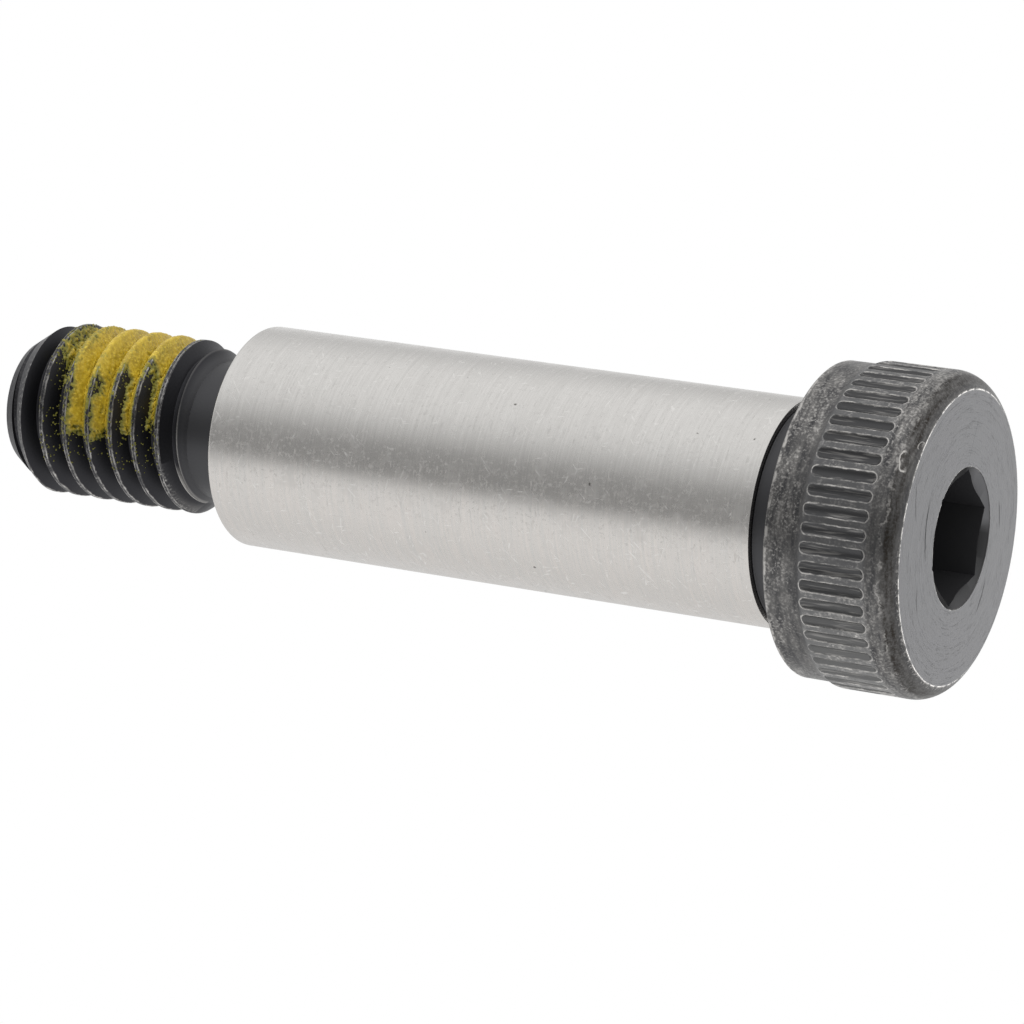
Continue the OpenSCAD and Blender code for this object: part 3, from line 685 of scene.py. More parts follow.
# A ring of old grease on the rounded edge
dirtEnd = addNode(tree, "ShaderNodeMapRange", [height, 0.75, 1.1, 1.0, 0.0])
dirtStreak = addNode(tree, "ShaderNodeMapRange", [streak, 0.36, 0.6, 1.0, 0.25])
dirtGrain = addNode(tree, "ShaderNodeMapRange", [fine, 0.42, 0.6, 1.0, 0.45])
dirt = addNode(tree, "ShaderNodeMapRange", [height, 0.12, 0.32, 0.0, 1.0])
for factor in (dirtEnd, dirtStreak, onSide, dirtGrain):
    dirt = addNode(tree, "ShaderNodeMath", [dirt, factor], operation="MULTIPLY")

# Bright rims: the bearing face's edge, worn steel with a painted glint, the front face's edge and a broken
# second line on the rounding
rimFade = addNode(tree, "ShaderNodeMapRange", [mid, 0.42, 0.56, 0.1, 1.0])
toRim = addNode(tree, "ShaderNodeMath", [height, bolt["headH"] - 0.16], operation="SUBTRACT")
toRim = addNode(tree, "ShaderNodeMath", [midSwing, 0.4, toRim], operation="MULTIPLY_ADD")
toRimAbs = addNode(tree, "ShaderNodeMath", [toRim], operation="ABSOLUTE")
rimBack = addNode(tree, "ShaderNodeMapRange", [toRimAbs, 0.03, 0.15, 0.8, 0.0])
rimBack = addNode(tree, "ShaderNodeMath", [rimBack, onSide], operation="MULTIPLY")
toFace = addNode(tree, "ShaderNodeMath", [radius, faceR], operation="SUBTRACT")
faceCorner = addNode(tree, "ShaderNodeCombineXYZ", [toFace, height])
faceGap = addNode(tree, "ShaderNodeVectorMath", [faceCorner], operation="LENGTH").node.outputs["Value"]
faceGap = addNode(tree, "ShaderNodeMath", [midSwing, 0.2, faceGap], operation="MULTIPLY_ADD")
rimFront = addNode(tree, "ShaderNodeMapRange", [faceGap, 0.03, 0.10, 0.9, 0.0])
nearSide = addNode(tree, "ShaderNodeMapRange", [axes["Y"], 1.0, 5.0, 1.0, 0.1])
rimFront = addNode(tree, "ShaderNodeMath", [rimFront, nearSide], operation="MULTIPLY")
lowLeft = addNode(tree, "ShaderNodeMapRange", [axes["X"], 0.0, -4.0, 0.0, 0.7])
frayed = addNode(tree, "ShaderNodeMapRange", [faceGap, 0.08, 0.35, 1.0, 0.0])
frayGrain = addNode(tree, "ShaderNodeMapRange", [fine, 0.5, 0.62, 0.0, 1.0])
for factor in (lowLeft, frayGrain, onSide):
    frayed = addNode(tree, "ShaderNodeMath", [frayed, factor], operation="MULTIPLY")
toSecond = addNode(tree, "ShaderNodeMath", [height, oxideLook["secondRim"]], operation="SUBTRACT")
toSecond = addNode(tree, "ShaderNodeMath", [midSwing, 1.3, toSecond], operation="MULTIPLY_ADD")
toSecondAbs = addNode(tree, "ShaderNodeMath", [toSecond], operation="ABSOLUTE")
rimSecond = addNode(tree, "ShaderNodeMapRange", [toSecondAbs, 0.02, 0.14, 0.5, 0.0])
secondFade = addNode(tree, "ShaderNodeMapRange", [breaks, 0.42, 0.58, 0.0, 1.0])
for factor in (secondFade, onSide):
    rimSecond = addNode(tree, "ShaderNodeMath", [rimSecond, factor], operation="MULTIPLY")
rims = addNode(tree, "ShaderNodeMath", [rimBack, rimFront], operation="MAXIMUM")
rims = addNode(tree, "ShaderNodeMath", [rims, rimFade], operation="MULTIPLY")
for part in (rimSecond, frayed):
    rims = addNode(tree, "ShaderNodeMath", [rims, part], operation="MAXIMUM")

# Each dent has a bright lip on one side, where the steel was pushed up, and dark dirt in its hollow
nicked = 0.0
for nickPlace, nickSpin, nickScale, lipStrength in nickPlaces:
    inNick = addNode(tree, "ShaderNodeMapping", {
        "Vector": mm, "Location": nickPlace, "Rotation": nickSpin, "Scale": nickScale},
        vector_type="TEXTURE")
    fromNick = addNode(tree, "ShaderNodeVectorMath", [inNick], operation="LENGTH").node.outputs["Value"]
    fromNick = addNode(tree, "ShaderNodeMath", [midSwing, 0.5, fromNick], operation="MULTIPLY_ADD")
    offLip = addNode(tree, "ShaderNodeMath", [fromNick, 1.06], operation="SUBTRACT")
    offLip = addNode(tree, "ShaderNodeMath", [offLip], operation="ABSOLUTE")
    lip = addNode(tree, "ShaderNodeMapRange", [offLip, 0.02, 0.10, lipStrength, 0.0])
    nickSide = addNode(tree, "ShaderNodeSeparateXYZ", [inNick]).node.outputs["Z"]
    lipPart = addNode(tree, "ShaderNodeMapRange", [nickSide, -0.4, 0.1, 0.0, 1.0])
    lip = addNode(tree, "ShaderNodeMath", [lip, lipPart], operation="MULTIPLY")
    rims = addNode(tree, "ShaderNodeMath", [rims, lip], operation="MAXIMUM")
    hollow = addNode(tree, "ShaderNodeMapRange", [fromNick, 0.85, 1.0, 0.8 * lipStrength, 0.0])
    nicked = addNode(tree, "ShaderNodeMath", [hollow, nicked], operation="MAXIMUM")
notNicked = addNode(tree, "ShaderNodeMath", [1.0, nicked], operation="SUBTRACT")
rubbed = addNode(tree, "ShaderNodeMath", [rubbed, notNicked], operation="MULTIPLY")

# Front face: faint turned arcs, a few scratches and specks, and the dish round the socket, dark with
# painted shade
faceSide = addNode(tree, "ShaderNodeVectorMath", {0: outwards, "Scale": 1.7}, operation="SCALE")
faceRings = addNode(tree, "ShaderNodeMath", [radius, 6.0], operation="MULTIPLY")
faceRise = addNode(tree, "ShaderNodeCombineXYZ", {"Z": faceRings})
facePlace = addNode(tree, "ShaderNodeVectorMath", [faceSide, faceRise], operation="ADD")
arcs = addNode(tree, "ShaderNodeTexNoise", {
    "Vector": facePlace, "Scale": 1.0, "Detail": 3.0, "Roughness": 0.6})
arcGap = addNode(tree, "ShaderNodeMath", [arcs, 0.56], operation="SUBTRACT")
arcGap = addNode(tree, "ShaderNodeMath", [arcGap], operation="ABSOLUTE")
marks = addNode(tree, "ShaderNodeMapRange", [arcGap, 0.0, 0.02, 0.3, 0.0])
specks = addNode(tree, "ShaderNodeMapRange", [fine, 0.68, 0.76, 0.0, 0.6])
marks = addNode(tree, "ShaderNodeMath", [marks, specks], operation="MAXIMUM")
for middle, half, scratchR, slope, strength in oxideLook["scratches"]:
    fromMiddle = addNode(tree, "ShaderNodeMath", [degrees, middle], operation="SUBTRACT")
    offArc = addNode(tree, "ShaderNodeMath", [fromMiddle, -slope, radius], operation="MULTIPLY_ADD")
    offArc = addNode(tree, "ShaderNodeMath", [midSwing, 0.25, offArc], operation="MULTIPLY_ADD")
    offArc = addNode(tree, "ShaderNodeMath", [offArc, scratchR], operation="SUBTRACT")
    offArc = addNode(tree, "ShaderNodeMath", [offArc], operation="ABSOLUTE")
    line = addNode(tree, "ShaderNodeMapRange", [offArc, 0.02, 0.10, strength, 0.0])
    fromMiddle = addNode(tree, "ShaderNodeMath", [fromMiddle], operation="ABSOLUTE")
    reachArc = addNode(tree, "ShaderNodeMapRange", [fromMiddle, half * 0.5, half, 1.0, 0.0])
    line = addNode(tree, "ShaderNodeMath", [line, reachArc], operation="MULTIPLY")
    marks = addNode(tree, "ShaderNodeMath", [marks, line], operation="MAXIMUM")
onFace = addNode(tree, "ShaderNodeMapRange", [height, 0.005, 0.02, 1.0, 0.0])
mouthCentre = (0, bolt["mouthShift"], 0)
mouthPlace = addNode(tree, "ShaderNodeVectorMath", [flatPlace, mouthCentre], operation="SUBTRACT")
fromMouth = addNode(tree, "ShaderNodeVectorMath", [mouthPlace], operation="LENGTH").node.outputs["Value"]
inMouth = addNode(tree, "ShaderNodeMapRange", [fromMouth, mouthR, mouthR + 0.01, 1.0, 0.0])
inMouth = addNode(tree, "ShaderNodeMath", [inMouth, headOnly], operation="MULTIPLY")
normal = addNode(tree, "ShaderNodeNewGeometry").node.outputs["Normal"]
facing = addNode(tree, "ShaderNodeSeparateXYZ", [normal]).node.outputs["Z"]
facing = addNode(tree, "ShaderNodeMath", [facing], operation="ABSOLUTE")
onWall = addNode(tree, "ShaderNodeMapRange", [facing, 0.3, 0.4, 1.0, 0.0])
inside = addNode(tree, "ShaderNodeMapRange", [height, 1.0, 1.2, 0.0, 1.0])
inside = addNode(tree, "ShaderNodeMath", [inside, onWall], operation="MAXIMUM")
inside = addNode(tree, "ShaderNodeMath", [inside, inMouth], operation="MULTIPLY")
# A painted glint along the near side of the mouth's rim
toMouth = addNode(tree, "ShaderNodeMath", [fromMouth, mouthR + 0.02], operation="SUBTRACT")
toMouth = addNode(tree, "ShaderNodeMath", [toMouth], operation="ABSOLUTE")
mouthRim = addNode(tree, "ShaderNodeMapRange", [toMouth, 0.02, 0.06, 0.6, 0.0])
mouthNear = addNode(tree, "ShaderNodeMapRange", [axes["Y"], 0.5, 2.5, 1.0, 0.0])
for factor in (mouthNear, rimFade, headOnly):
    mouthRim = addNode(tree, "ShaderNodeMath", [mouthRim, factor], operation="MULTIPLY")
rims = addNode(tree, "ShaderNodeMath", [rims, mouthRim], operation="MAXIMUM")

# Thread: mottled grey crests with bright flecks, a broad worn turn and a painted highlight on the run-out's
# ridge
inThread = addNode(tree, "ShaderNodeMapRange", [height, neckEnd + 0.25, neckEnd + 0.65, 0.0, 1.0])
onFlat = addNode(tree, "ShaderNodeMapRange", [facing, 0.72, 0.8, 1.0, 0.0])
helixTurn = addNode(tree, "ShaderNodeMath", [degrees, bolt["threadTurn"]], operation="SUBTRACT")
helixPart = addNode(tree, "ShaderNodeMath", [helixTurn, 360.0], operation="DIVIDE")
heightPart = addNode(tree, "ShaderNodeMath", [height, grooveStart], operation="SUBTRACT")
heightPart = addNode(tree, "ShaderNodeMath", [heightPart, bolt["pitch"]], operation="DIVIDE")
helixPhase = addNode(tree, "ShaderNodeMath", [heightPart, helixPart], operation="SUBTRACT")
helixWave = addNode(tree, "ShaderNodeMath", [helixPhase, 0.5], operation="PINGPONG")
crestGap = addNode(tree, "ShaderNodeMath", [helixWave, -bolt["pitch"], bolt["pitch"] / 2],
                   operation="MULTIPLY_ADD")
crestGap = addNode(tree, "ShaderNodeMath", [midSwing, 0.16, crestGap], operation="MULTIPLY_ADD")
# The crests: a bright broken line along each edge, worn steel with a painted glint, and mottled skin
# between the two
mottle = addNode(tree, "ShaderNodeMapRange", [fine, 0.40, 0.62, 0.0, 0.22])
flecks = addNode(tree, "ShaderNodeMapRange", [fine, 0.60, 0.70, 0.0, 0.8])
edgeGap = addNode(tree, "ShaderNodeMath", [crestGap, bolt["crestW"] / 2], operation="SUBTRACT")
edgeGapAbs = addNode(tree, "ShaderNodeMath", [edgeGap], operation="ABSOLUTE")
crestLine = addNode(tree, "ShaderNodeMapRange", [edgeGapAbs, 0.01, 0.05, 0.95, 0.0])
crestFade = addNode(tree, "ShaderNodeMapRange", [breaks, 0.40, 0.60, 0.15, 1.0])
crestLine = addNode(tree, "ShaderNodeMath", [crestLine, crestFade], operation="MULTIPLY")
crestSkin = addNode(tree, "ShaderNodeMath", [mottle, flecks], operation="MAXIMUM")
crestFill = addNode(tree, "ShaderNodeMapRange", [crestGap, 0.10, 0.17, 1.0, 0.0])
crestFill = addNode(tree, "ShaderNodeMath", [crestFill, crestSkin], operation="MULTIPLY")
crestPatch = addNode(tree, "ShaderNodeMapRange", [breaks, 0.40, 0.60, 0.45, 1.15])
crestFill = addNode(tree, "ShaderNodeMath", [crestFill, crestPatch], operation="MULTIPLY")
crestWearAndGlints = addNode(tree, "ShaderNodeMath", [crestLine, crestFill], operation="MAXIMUM")
onCrest = addNode(tree, "ShaderNodeMapRange", [
    radius, bolt["threadR"] - 0.15, bolt["threadR"] - 0.05, 0.0, 1.0])
crestWearAndGlints = addNode(tree, "ShaderNodeMath", [crestWearAndGlints, onCrest], operation="MULTIPLY")
taperZ = tipZ - bolt["tipL"]
tipStart = addNode(tree, "ShaderNodeMapRange", [height, taperZ - 0.3, taperZ, 0.0, 0.9])
tipEnd = addNode(tree, "ShaderNodeMapRange", [height, taperZ + 0.4, taperZ + 0.8, 1.0, 0.2])
lastRise = addNode(tree, "ShaderNodeMath", [degrees, bolt["pitch"] / 360, oxideLook["broadCrest"]],
                   operation="MULTIPLY_ADD")
toLast = addNode(tree, "ShaderNodeMath", [height, lastRise], operation="SUBTRACT")
lastStart = addNode(tree, "ShaderNodeMapRange", [toLast, -0.42, -0.30, 0.0, 1.0])
lastEnd = addNode(tree, "ShaderNodeMapRange", [toLast, 0.16, 0.24, 1.0, 0.0])
broadCrest = addNode(tree, "ShaderNodeMath", [lastStart, lastEnd], operation="MULTIPLY")
tipCrest = addNode(tree, "ShaderNodeMath", [tipStart, tipEnd], operation="MULTIPLY")
broadCrest = addNode(tree, "ShaderNodeMath", [broadCrest, tipCrest], operation="MAXIMUM")
for factor in (onFlat, crestSkin):
    broadCrest = addNode(tree, "ShaderNodeMath", [broadCrest, factor], operation="MULTIPLY")
# A painted highlight along the run-out's ridge, strongest on the low side
ridgeR = addNode(tree, "ShaderNodeMath", [degrees, oxideLook["ridgeGrow"], oxideLook["ridgeR"]],
                 operation="MULTIPLY_ADD")
toRidge = addNode(tree, "ShaderNodeMath", [radius, ridgeR], operation="SUBTRACT")
ridge = addNode(tree, "ShaderNodeMapRange", [toRidge, -0.07, 0.0, 0.0, 0.7])
ridgeOut = addNode(tree, "ShaderNodeMapRange", [toRidge, 0.1, 0.3, 1.0, 0.2])
ridgeNear = addNode(tree, "ShaderNodeMapRange", [height, neckEnd + 1.35, neckEnd + 1.05, 0.0, 1.0])
ridgeTurn = addNode(tree, "ShaderNodeMapRange", [axes["X"], -1.0, 1.5, 1.0, 0.15])
for factor in (ridgeNear, ridgeTurn, ridgeOut, onFlat):
    ridge = addNode(tree, "ShaderNodeMath", [ridge, factor], operation="MULTIPLY")
threadWearAndHighlights = crestWearAndGlints
for part in (broadCrest, ridge):
    threadWearAndHighlights = addNode(tree, "ShaderNodeMath", [threadWearAndHighlights, part], operation="MAXIMUM")
threadWearAndHighlights = addNode(tree, "ShaderNodeMath", [threadWearAndHighlights, inThread], operation="MULTIPLY")
wearAndHighlights = rimLine
for part in (rubbed, rims, threadWearAndHighlights):
    wearAndHighlights = addNode(tree, "ShaderNodeMath", [wearAndHighlights, part], operation="MAXIMUM")

# The front face's paint, and the dish's painted shade: darkest on the near side, with painted light where
# it turns to the light
turnedLight = addNode(tree, "ShaderNodeMapRange", [arcs, 0.38, 0.62, 0.0, 1.0])
facePaint = addNode(tree, "ShaderNodeMix", {0: turnedLight, 6: paints["face"], 7: paints["faceLight"]},
                    data_type="RGBA").node.outputs[2]
facePaint = addNode(tree, "ShaderNodeMix", {0: marks, 6: facePaint, 7: paints["faceMark"]},
                    data_type="RGBA").node.outputs[2]
dishTop = addNode(tree, "ShaderNodeMapRange", [axes["X"], 0.6, 1.6, 0.0, 1.0])
dishLow = addNode(tree, "ShaderNodeMapRange", [axes["X"], -1.0, -3.0, 0.0, 1.0])
dishRight = addNode(tree, "ShaderNodeMapRange", [axes["Y"], -0.5, 1.5, 0.0, 1.0])
dishTop = addNode(tree, "ShaderNodeMath", [dishTop, dishRight], operation="MULTIPLY")
dishLow = addNode(tree, "ShaderNodeMath", [dishLow, dishRight], operation="MULTIPLY")
dishPaintedShading = paints["dish"]
for where, paint in ((dishRight, "dishFar"), (dishLow, "dishLow"), (dishTop, "dishTop")):
    dishPaintedShading = addNode(tree, "ShaderNodeMix", {0: where, 6: dishPaintedShading, 7: paints[paint]},
                        data_type="RGBA").node.outputs[2]

# All the layers, from the oxide up to the worn steel, which also carries the painted highlights and glints
cloudy = addNode(tree, "ShaderNodeMapRange", [streak, 0.3, 0.7, 0.0, 1.0])
colour = addNode(tree, "ShaderNodeMix", {0: cloudy, 6: paints["oxide"], 7: paints["oxideLight"]},
                 data_type="RGBA").node.outputs[2]
bandLow = addNode(tree, "ShaderNodeMapRange", [axes["X"], -4.0, -8.5, 0.0, 0.4])
bandLow = addNode(tree, "ShaderNodeMath", [bandLow, inBand], operation="MULTIPLY")
onShaft = addNode(tree, "ShaderNodeMapRange", [
    height, bolt["headH"] + 0.02, bolt["headH"] + 0.1, 0.0, 1.0])
layers = [  # where, and what covers the oxide there
    (onShaft, paints["shaft"]), (inThread, paints["thread"]), (inBand, paints["ridge"]),
    (inGroove, paints["groove"]), (bandLow, paints["bandLow"]), (dirt, paints["grease"]),
    (nicked, paints["grease"]), (onFace, facePaint), (inMouth, dishPaintedShading), (inside, paints["socket"]),
    (wearAndHighlights, paints["worn"])]
for where, paint in layers:
    colour = addNode(tree, "ShaderNodeMix", {0: where, 6: colour, 7: paint},
                     data_type="RGBA").node.outputs[2]
roughness = addNode(tree, "ShaderNodeMapRange", [
    wearAndHighlights, 0.0, 1.0, oxideLook["roughness"], oxideLook["wornRoughness"]])
marksOnFace = addNode(tree, "ShaderNodeMath", [marks, onFace], operation="MULTIPLY")
dull = addNode(tree, "ShaderNodeMath", [marksOnFace, inMouth], operation="MAXIMUM")
roughness = addNode(tree, "ShaderNodeMath", [dull, oxideLook["dulled"], roughness],
                    operation="MULTIPLY_ADD")
bump = addNode(tree, "ShaderNodeBump", {"Strength": 0.15, "Distance": 0.00005, "Height": fine})
shader = addNode(tree, "ShaderNodeBsdfPrincipled", {
    "Base Color": colour, "Metallic": 1.0, "Roughness": roughness, "Normal": bump})
addNode(tree, "ShaderNodeOutputMaterial", {"Surface": shader})

# Alloy steel, centreless ground: fine lines round the shoulder and a soft sheen along it, with rubs,
# scratches and pits
groundLook = {
    "colours": {
        "steel": "#d9d7d4", "streak": "#cdcbc8", "scratch": "#e9e7e4", "warm": "#d6d0cb",
        "pit": "#6f6c69"},
    "roughness": 0.24, "rubbed": 0.2,
    "scratches": [(0.8, 0.8), (-0.35, 1.1), (1.7, 1.3)],  # lean in radians, and how close they lie
}
paints = {name: linearColour(shade) for name, shade in groundLook["colours"].items()}
groundSteel, tree = newMaterial("groundSteel")
coords = addNode(tree, "ShaderNodeTexCoord").node.outputs["Object"]
mm = addNode(tree, "ShaderNodeVectorMath", {0: coords, "Scale": 1000.0}, operation="SCALE")
across = addNode(tree, "ShaderNodeSeparateXYZ", [mm]).node.outputs["X"]
# Grinding lines 0.12 mm apart and a few millimetres long; the real ones are too fine to show
lineSpace = addNode(tree, "ShaderNodeVectorMath", [mm, (0.24, 0.24, 8.0)], operation="MULTIPLY")
lines = addNode(tree, "ShaderNodeTexNoise", {
    "Vector": lineSpace, "Scale": 1.0, "Detail": 3.0, "Roughness": 0.6})
linesOn = addNode(tree, "ShaderNodeMapRange", [lines, 0.3, 0.7, 0.0, 1.0])
# Rubs of 1 to 2 mm, specks of 0.3 mm and short strokes 0.2 mm wide
rubs = addNode(tree, "ShaderNodeTexNoise", {"Vector": mm, "Scale": 0.75, "Detail": 5.0, "Roughness": 0.7})
rubbed = addNode(tree, "ShaderNodeMapRange", [rubs, 0.48, 0.66, 0.0, 0.45])
specks = addNode(tree, "ShaderNodeTexNoise", {"Vector": mm, "Scale": 3.4, "Detail": 4.0, "Roughness": 0.75})
specksOn = addNode(tree, "ShaderNodeMapRange", [specks, 0.53, 0.66, 0.0, 1.0])
strokeSpace = addNode(tree, "ShaderNodeVectorMath", [mm, (0.9, 0.9, 4.2)], operation="MULTIPLY")
strokes = addNode(tree, "ShaderNodeTexNoise", {"Vector": strokeSpace, "Scale": 1.0, "Detail": 2.0})
strokesOn = addNode(tree, "ShaderNodeMapRange", [strokes, 0.62, 0.72, 0.0, 1.0])
# Longer scratches, which lean three ways and lie in the rubbed patches alone
scratchesOn = 0.0
for lean, closeness in groundLook["scratches"]:
    tilted = addNode(tree, "ShaderNodeVectorRotate", {"Vector": mm, "Angle": lean}, rotation_type="Y_AXIS")
    scratchSpace = addNode(tree, "ShaderNodeVectorMath", [tilted, (closeness, closeness, 7.0)],
                           operation="MULTIPLY")
    scratches = addNode(tree, "ShaderNodeTexNoise", {"Vector": scratchSpace, "Scale": 1.0, "Detail": 1.0})
    scratches = addNode(tree, "ShaderNodeMapRange", [scratches, 0.67, 0.74, 0.0, 0.8])
    scratchesOn = addNode(tree, "ShaderNodeMath", [scratches, scratchesOn], operation="MAXIMUM")
scratchPatch = addNode(tree, "ShaderNodeMapRange", [rubs, 0.46, 0.56, 0.0, 1.0])
scratchesOn = addNode(tree, "ShaderNodeMath", [scratchesOn, scratchPatch], operation="MULTIPLY")
worn = rubbed
for part in (strokesOn, scratchesOn, specksOn):
    worn = addNode(tree, "ShaderNodeMath", [worn, part], operation="MAXIMUM")
# Pits of uneven outline, up to one in each cell of 1.5 mm
pitEdge = addNode(tree, "ShaderNodeTexNoise", {"Vector": mm, "Scale": 6.0, "Detail": 1.0})
pitCells = addNode(tree, "ShaderNodeTexVoronoi", {"Vector": mm, "Scale": 0.65})
pitLuck = addNode(tree, "ShaderNodeSeparateXYZ", [pitCells.node.outputs["Color"]]).node.outputs
pitSize = addNode(tree, "ShaderNodeMapRange", [pitLuck["X"], 0.3, 1.0, 0.0, 0.11])
pitGap = addNode(tree, "ShaderNodeMath", [pitEdge, 0.13, pitCells], operation="MULTIPLY_ADD")
pitGap = addNode(tree, "ShaderNodeMath", [pitGap, pitSize], operation="SUBTRACT")
pits = addNode(tree, "ShaderNodeMapRange", [pitGap, 0.0, 0.035, 0.9, 0.0])

# Warmer on the low side, paler in the scratches, and duller wherever it is worn
lowSide = addNode(tree, "ShaderNodeMapRange", [across, 2.0, -4.0, 0.0, 0.8])
colour = addNode(tree, "ShaderNodeMix", {0: lowSide, 6: paints["steel"], 7: paints["warm"]},
                 data_type="RGBA").node.outputs[2]
colour = addNode(tree, "ShaderNodeMix", {0: linesOn, 6: paints["streak"], 7: colour},
                 data_type="RGBA").node.outputs[2]
for where, paint in ((pits, "pit"), (scratchesOn, "scratch")):
    colour = addNode(tree, "ShaderNodeMix", {0: where, 6: colour, 7: paints[paint]},
                     data_type="RGBA").node.outputs[2]
roughness = addNode(tree, "ShaderNodeMath", [worn, groundLook["rubbed"], groundLook["roughness"]],
                    operation="MULTIPLY_ADD")
tangent = addNode(tree, "ShaderNodeTangent", direction_type="RADIAL", axis="Z")
bump = addNode(tree, "ShaderNodeBump", {"Strength": 0.25, "Distance": 0.00002, "Height": lines})
shader = addNode(tree, "ShaderNodeBsdfPrincipled", {
    "Base Color": colour, "Metallic": 1.0, "Roughness": roughness, "Anisotropic": 0.5,
    "Tangent": tangent, "Normal": bump})
addNode(tree, "ShaderNodeOutputMaterial", {"Surface": shader})

# Nylon 11, sprayed on hot as powder and fused: golden and sugary, olive where the dark steel shows through
nylonLook = {
    "colours": {"film": "#aa9124", "light": "#bfa938", "deep": "#927c1c", "thin": "#6a6726"},
    "roughness": 0.42, "ior": 1.53,
}
paints = {name: linearColour(shade) for name, shade in nylonLook["colours"].items()}
nylon, tree = newMaterial("fusedNylon")
coords = addNode(tree, "ShaderNodeTexCoord").node.outputs["Object"]
mm = addNode(tree, "ShaderNodeVectorMath", {0: coords, "Scale": 1000.0}, operation="SCALE")
# Grains of 0.2 mm, as the powder's, and clouds of 1 mm
grain = addNode(tree, "ShaderNodeTexNoise", {"Vector": mm, "Scale": 5.5, "Detail": 3.0, "Roughness": 0.6})
cloud = addNode(tree, "ShaderNodeTexNoise", {"Vector": mm, "Scale": 1.1, "Detail": 3.0})
thick = addNode(tree, "ShaderNodeAttribute", attribute_name="cover").node.outputs["Fac"]
thickness = addNode(tree, "ShaderNodeMapRange", [thick, 0.3, 1.3, 0.0, 1.0])
clouded = addNode(tree, "ShaderNodeMapRange", [cloud, 0.4, 0.6, 0.0, 1.0])
pale = addNode(tree, "ShaderNodeMapRange", [grain, 0.5, 0.68, 0.0, 1.0])
colour = addNode(tree, "ShaderNodeMix", {0: clouded, 6: paints["deep"], 7: paints["film"]},
                 data_type="RGBA").node.outputs[2]
colour = addNode(tree, "ShaderNodeMix", {0: pale, 6: colour, 7: paints["light"]},
                 data_type="RGBA").node.outputs[2]
colour = addNode(tree, "ShaderNodeMix", {0: thickness, 6: paints["thin"], 7: colour},
                 data_type="RGBA").node.outputs[2]
bump = addNode(tree, "ShaderNodeBump", {"Strength": 0.25, "Distance": 0.00008, "Height": grain})
shader = addNode(tree, "ShaderNodeBsdfPrincipled", {
    "Base Color": colour, "Roughness": nylonLook["roughness"], "IOR": nylonLook["ior"], "Normal": bump})
addNode(tree, "ShaderNodeOutputMaterial", {"Surface": shader})

print("stage 5: bolt")
boltPiece = bakeTree("shoulderBolt", points, boltTree, {
    "Turn steps": bolt["turnSteps"], "Thread steps": bolt["threadSteps"], "Thread turns": grooveTurns,
    "Pitch": bolt["pitch"], "Thread turn": bolt["threadTurn"], "Thread start": grooveStart,
    "Lead turns": bolt["leadTurns"], "Lead out": bolt["leadOut"],
    "Knurl count": bolt["knurlCount"], "Knurl turn": bolt["knurlTurn"],
    "Knurl reach": bolt["headR"] - bolt["knurlDepth"] + knurlR, "Mouth shift": bolt["mouthShift"],
    "Shoulder start": shoulderStart - 0.01, "Shoulder end": shoulderEnd + 0.1,
    "Shoulder inner": bolt["undercutR"] + 0.1, "Oxide": oxide, "Ground": groundSteel})
boltPiece.data.set_sharp_from_angle(angle=math.radians(26))
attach(boltPiece, "root")
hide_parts("shoulder_bolt")
print("bolt faces", len(boltPiece.data.polygons))

print("stage 6: locking patch")
patchPiece = bakeTree("lockPatch", [(0, 0, 0)], patchTree, {
    "Turn cells": patch["turnCells"], "Rise cells": patch["riseCells"], "First turn": patch["firstTurn"],
    "Last turn": patch["lastTurn"], "Low": patch["low"], "High": patch["high"], "Pitch": bolt["pitch"],
    "Thread turn": bolt["threadTurn"], "Groove centre": grooveStart, "Root radius": rootR,
    "Root half": rootHalf, "Thread depth": bolt["threadDepth"], "Patch low": patch["patchLow"],
    "Patch high": patch["patchHigh"], "Patch end": patch["patchEnd"], "Crest film": patch["crestFilm"],
    "Root film": patch["rootFilm"], "Under": patch["under"], "Grain size": patch["grainSize"],
    "Grain density": patch["grainDensity"], "Seed": patch["seed"], "Nylon": nylon})
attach(patchPiece, "root")
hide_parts("lock_patch")
print("patch faces", len(patchPiece.data.polygons))

print("stage 7: lamps, world and floor")
studio = {
    "diffuse": 0.55, "paper": "#f2f2f2", "floorHalf": 0.6, "floorLow": -0.00005,
    "tent": [  # the soft tent round the bolt, as metal mirrors it: turn about the bolt's axis, and level
        (-180, 0.90), (-160, 0.96), (-134, 0.98), (-123, 0.92), (-113, 0.33), (-104, 0.31), (-94, 0.35),
        (-82, 0.37), (-66, 0.64), (-50, 0.88), (-30, 0.98), (10, 1.0), (34, 0.83), (48, 0.69), (57, 0.73),
        (70, 0.94), (80, 1.0), (106, 0.80), (126, 0.86), (160, 0.86), (180, 0.90)],
}
world = bpy.data.worlds.new("studio")
scene.world = world
world.use_nodes = True
tree = world.node_tree
tree.nodes.clear()
# The metal mirrors the tent, the camera sees plain white
rays = tree.nodes.new("ShaderNodeLightPath").outputs
aim = addNode(tree, "ShaderNodeTexCoord").node.outputs["Generated"]
aimAxes = addNode(tree, "ShaderNodeSeparateXYZ", [aim]).node.outputs
around = addNode(tree, "ShaderNodeMath", [aimAxes["Y"], aimAxes["X"]], operation="ARCTAN2")
around = addNode(tree, "ShaderNodeMath", [around], operation="DEGREES")
ramp = tree.nodes.new("ShaderNodeValToRGB")
ramp.color_ramp.interpolation = "EASE"
while len(ramp.color_ramp.elements) < len(studio["tent"]):
    ramp.color_ramp.elements.new(0.5)
for stop, (turnAt, levelAt) in zip(ramp.color_ramp.elements, studio["tent"]):
    stop.position = (turnAt + 180) / 360
    stop.color = (levelAt, levelAt, levelAt, 1)
aroundPart = addNode(tree, "ShaderNodeMapRange", [around, -180.0, 180.0, 0.0, 1.0])
tree.links.new(aroundPart, ramp.inputs[0])
strength = addNode(tree, "ShaderNodeMix", {
    0: rays["Is Glossy Ray"], 2: studio["diffuse"], 3: ramp.outputs[0]}, data_type="FLOAT")
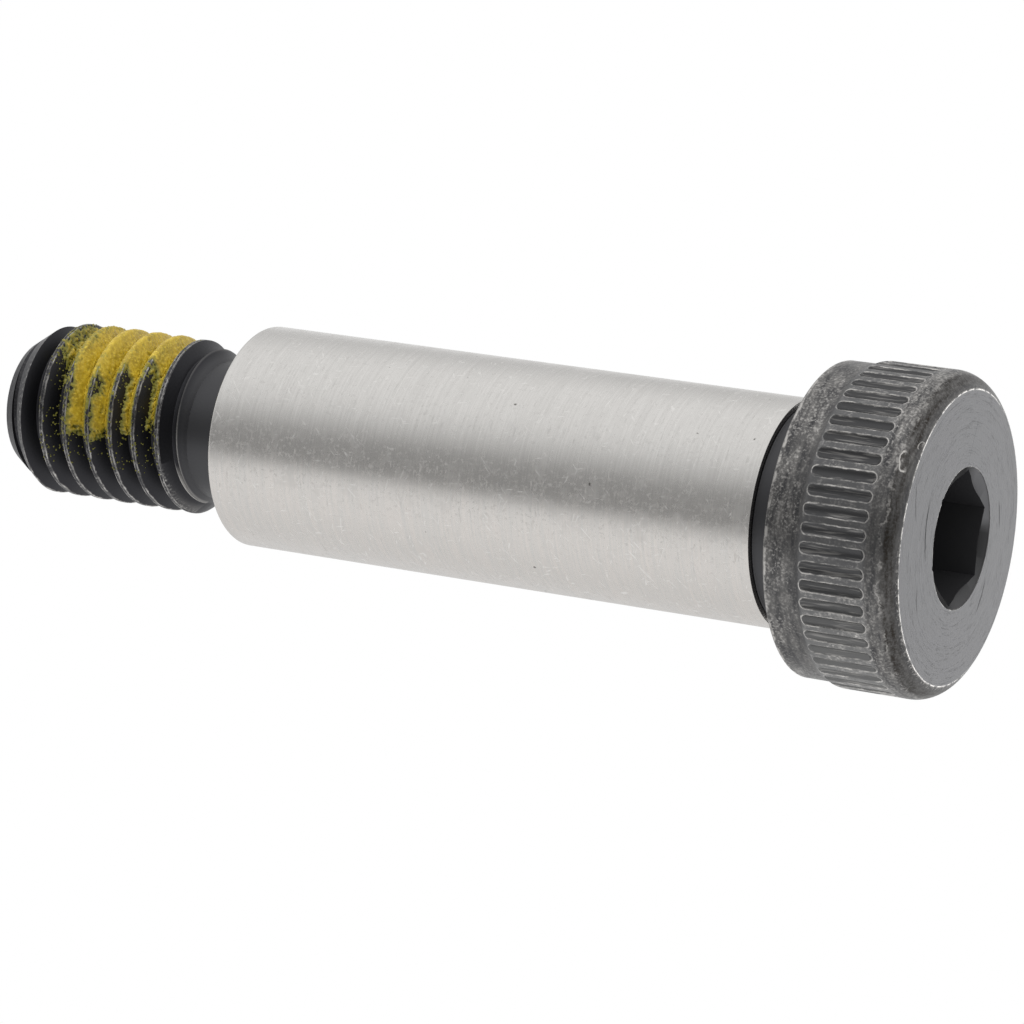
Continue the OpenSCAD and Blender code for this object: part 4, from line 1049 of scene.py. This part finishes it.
seen = addNode(tree, "ShaderNodeMath", [rays["Is Camera Ray"], rays["Is Transmission Ray"]],
               operation="MAXIMUM")
level = addNode(tree, "ShaderNodeMix", {0: seen, 2: strength, 3: 1.0}, data_type="FLOAT")
backdrop = addNode(tree, "ShaderNodeBackground", {"Color": linearColour("#ffffff"), "Strength": level})
addNode(tree, "ShaderNodeOutputWorld", {"Surface": backdrop})

lamps = [  # name, place, watts, size, mirrored by metal
    ("faceBox", (0.0, 0.42, -0.175), 0.5, 0.26, True),
    ("topBox", (0.45, -0.18, 0.10), 3.0, 0.40, False),
    ("lowBox", (-0.40, -0.15, 0.02), 1.2, 0.40, False),
]
centre = Vector((0, 0, 0.036))  # the middle of the bolt, at which every lamp aims
for name, place, watts, size, mirrored in lamps:
    lampData = bpy.data.lights.new(name, "AREA")
    lampData.energy = watts
    lampData.size = size
    lamp = bpy.data.objects.new(name, lampData)
    lamp.location = place
    lamp.rotation_euler = (centre - Vector(place)).to_track_quat("-Z", "Y").to_euler()
    lamp.visible_glossy = mirrored
    scene.collection.objects.link(lamp)

floorMesh = bpy.data.meshes.new("floor")
span = studio["floorHalf"]
corners = [(x * span, y * span, studio["floorLow"]) for x, y in ((-1, -1), (1, -1), (1, 1), (-1, 1))]
floorMesh.from_pydata(corners, [], [(0, 1, 2, 3)])
floor = bpy.data.objects.new("floor", floorMesh)
scene.collection.objects.link(floor)
floorPaint, tree = newMaterial("palePaper")
shader = addNode(tree, "ShaderNodeBsdfPrincipled", {
    "Base Color": linearColour(studio["paper"]), "Roughness": 0.9})
clear = addNode(tree, "ShaderNodeBsdfTransparent")
behind = addNode(tree, "ShaderNodeNewGeometry").node.outputs["Backfacing"]
oneSided = addNode(tree, "ShaderNodeMixShader", [behind, shader, clear])
addNode(tree, "ShaderNodeOutputMaterial", {"Surface": oneSided})
floorMesh.materials.append(floorPaint)
floor.visible_diffuse = False
floor.visible_glossy = False
floor.visible_shadow = False

scene.view_settings.view_transform = "Standard"
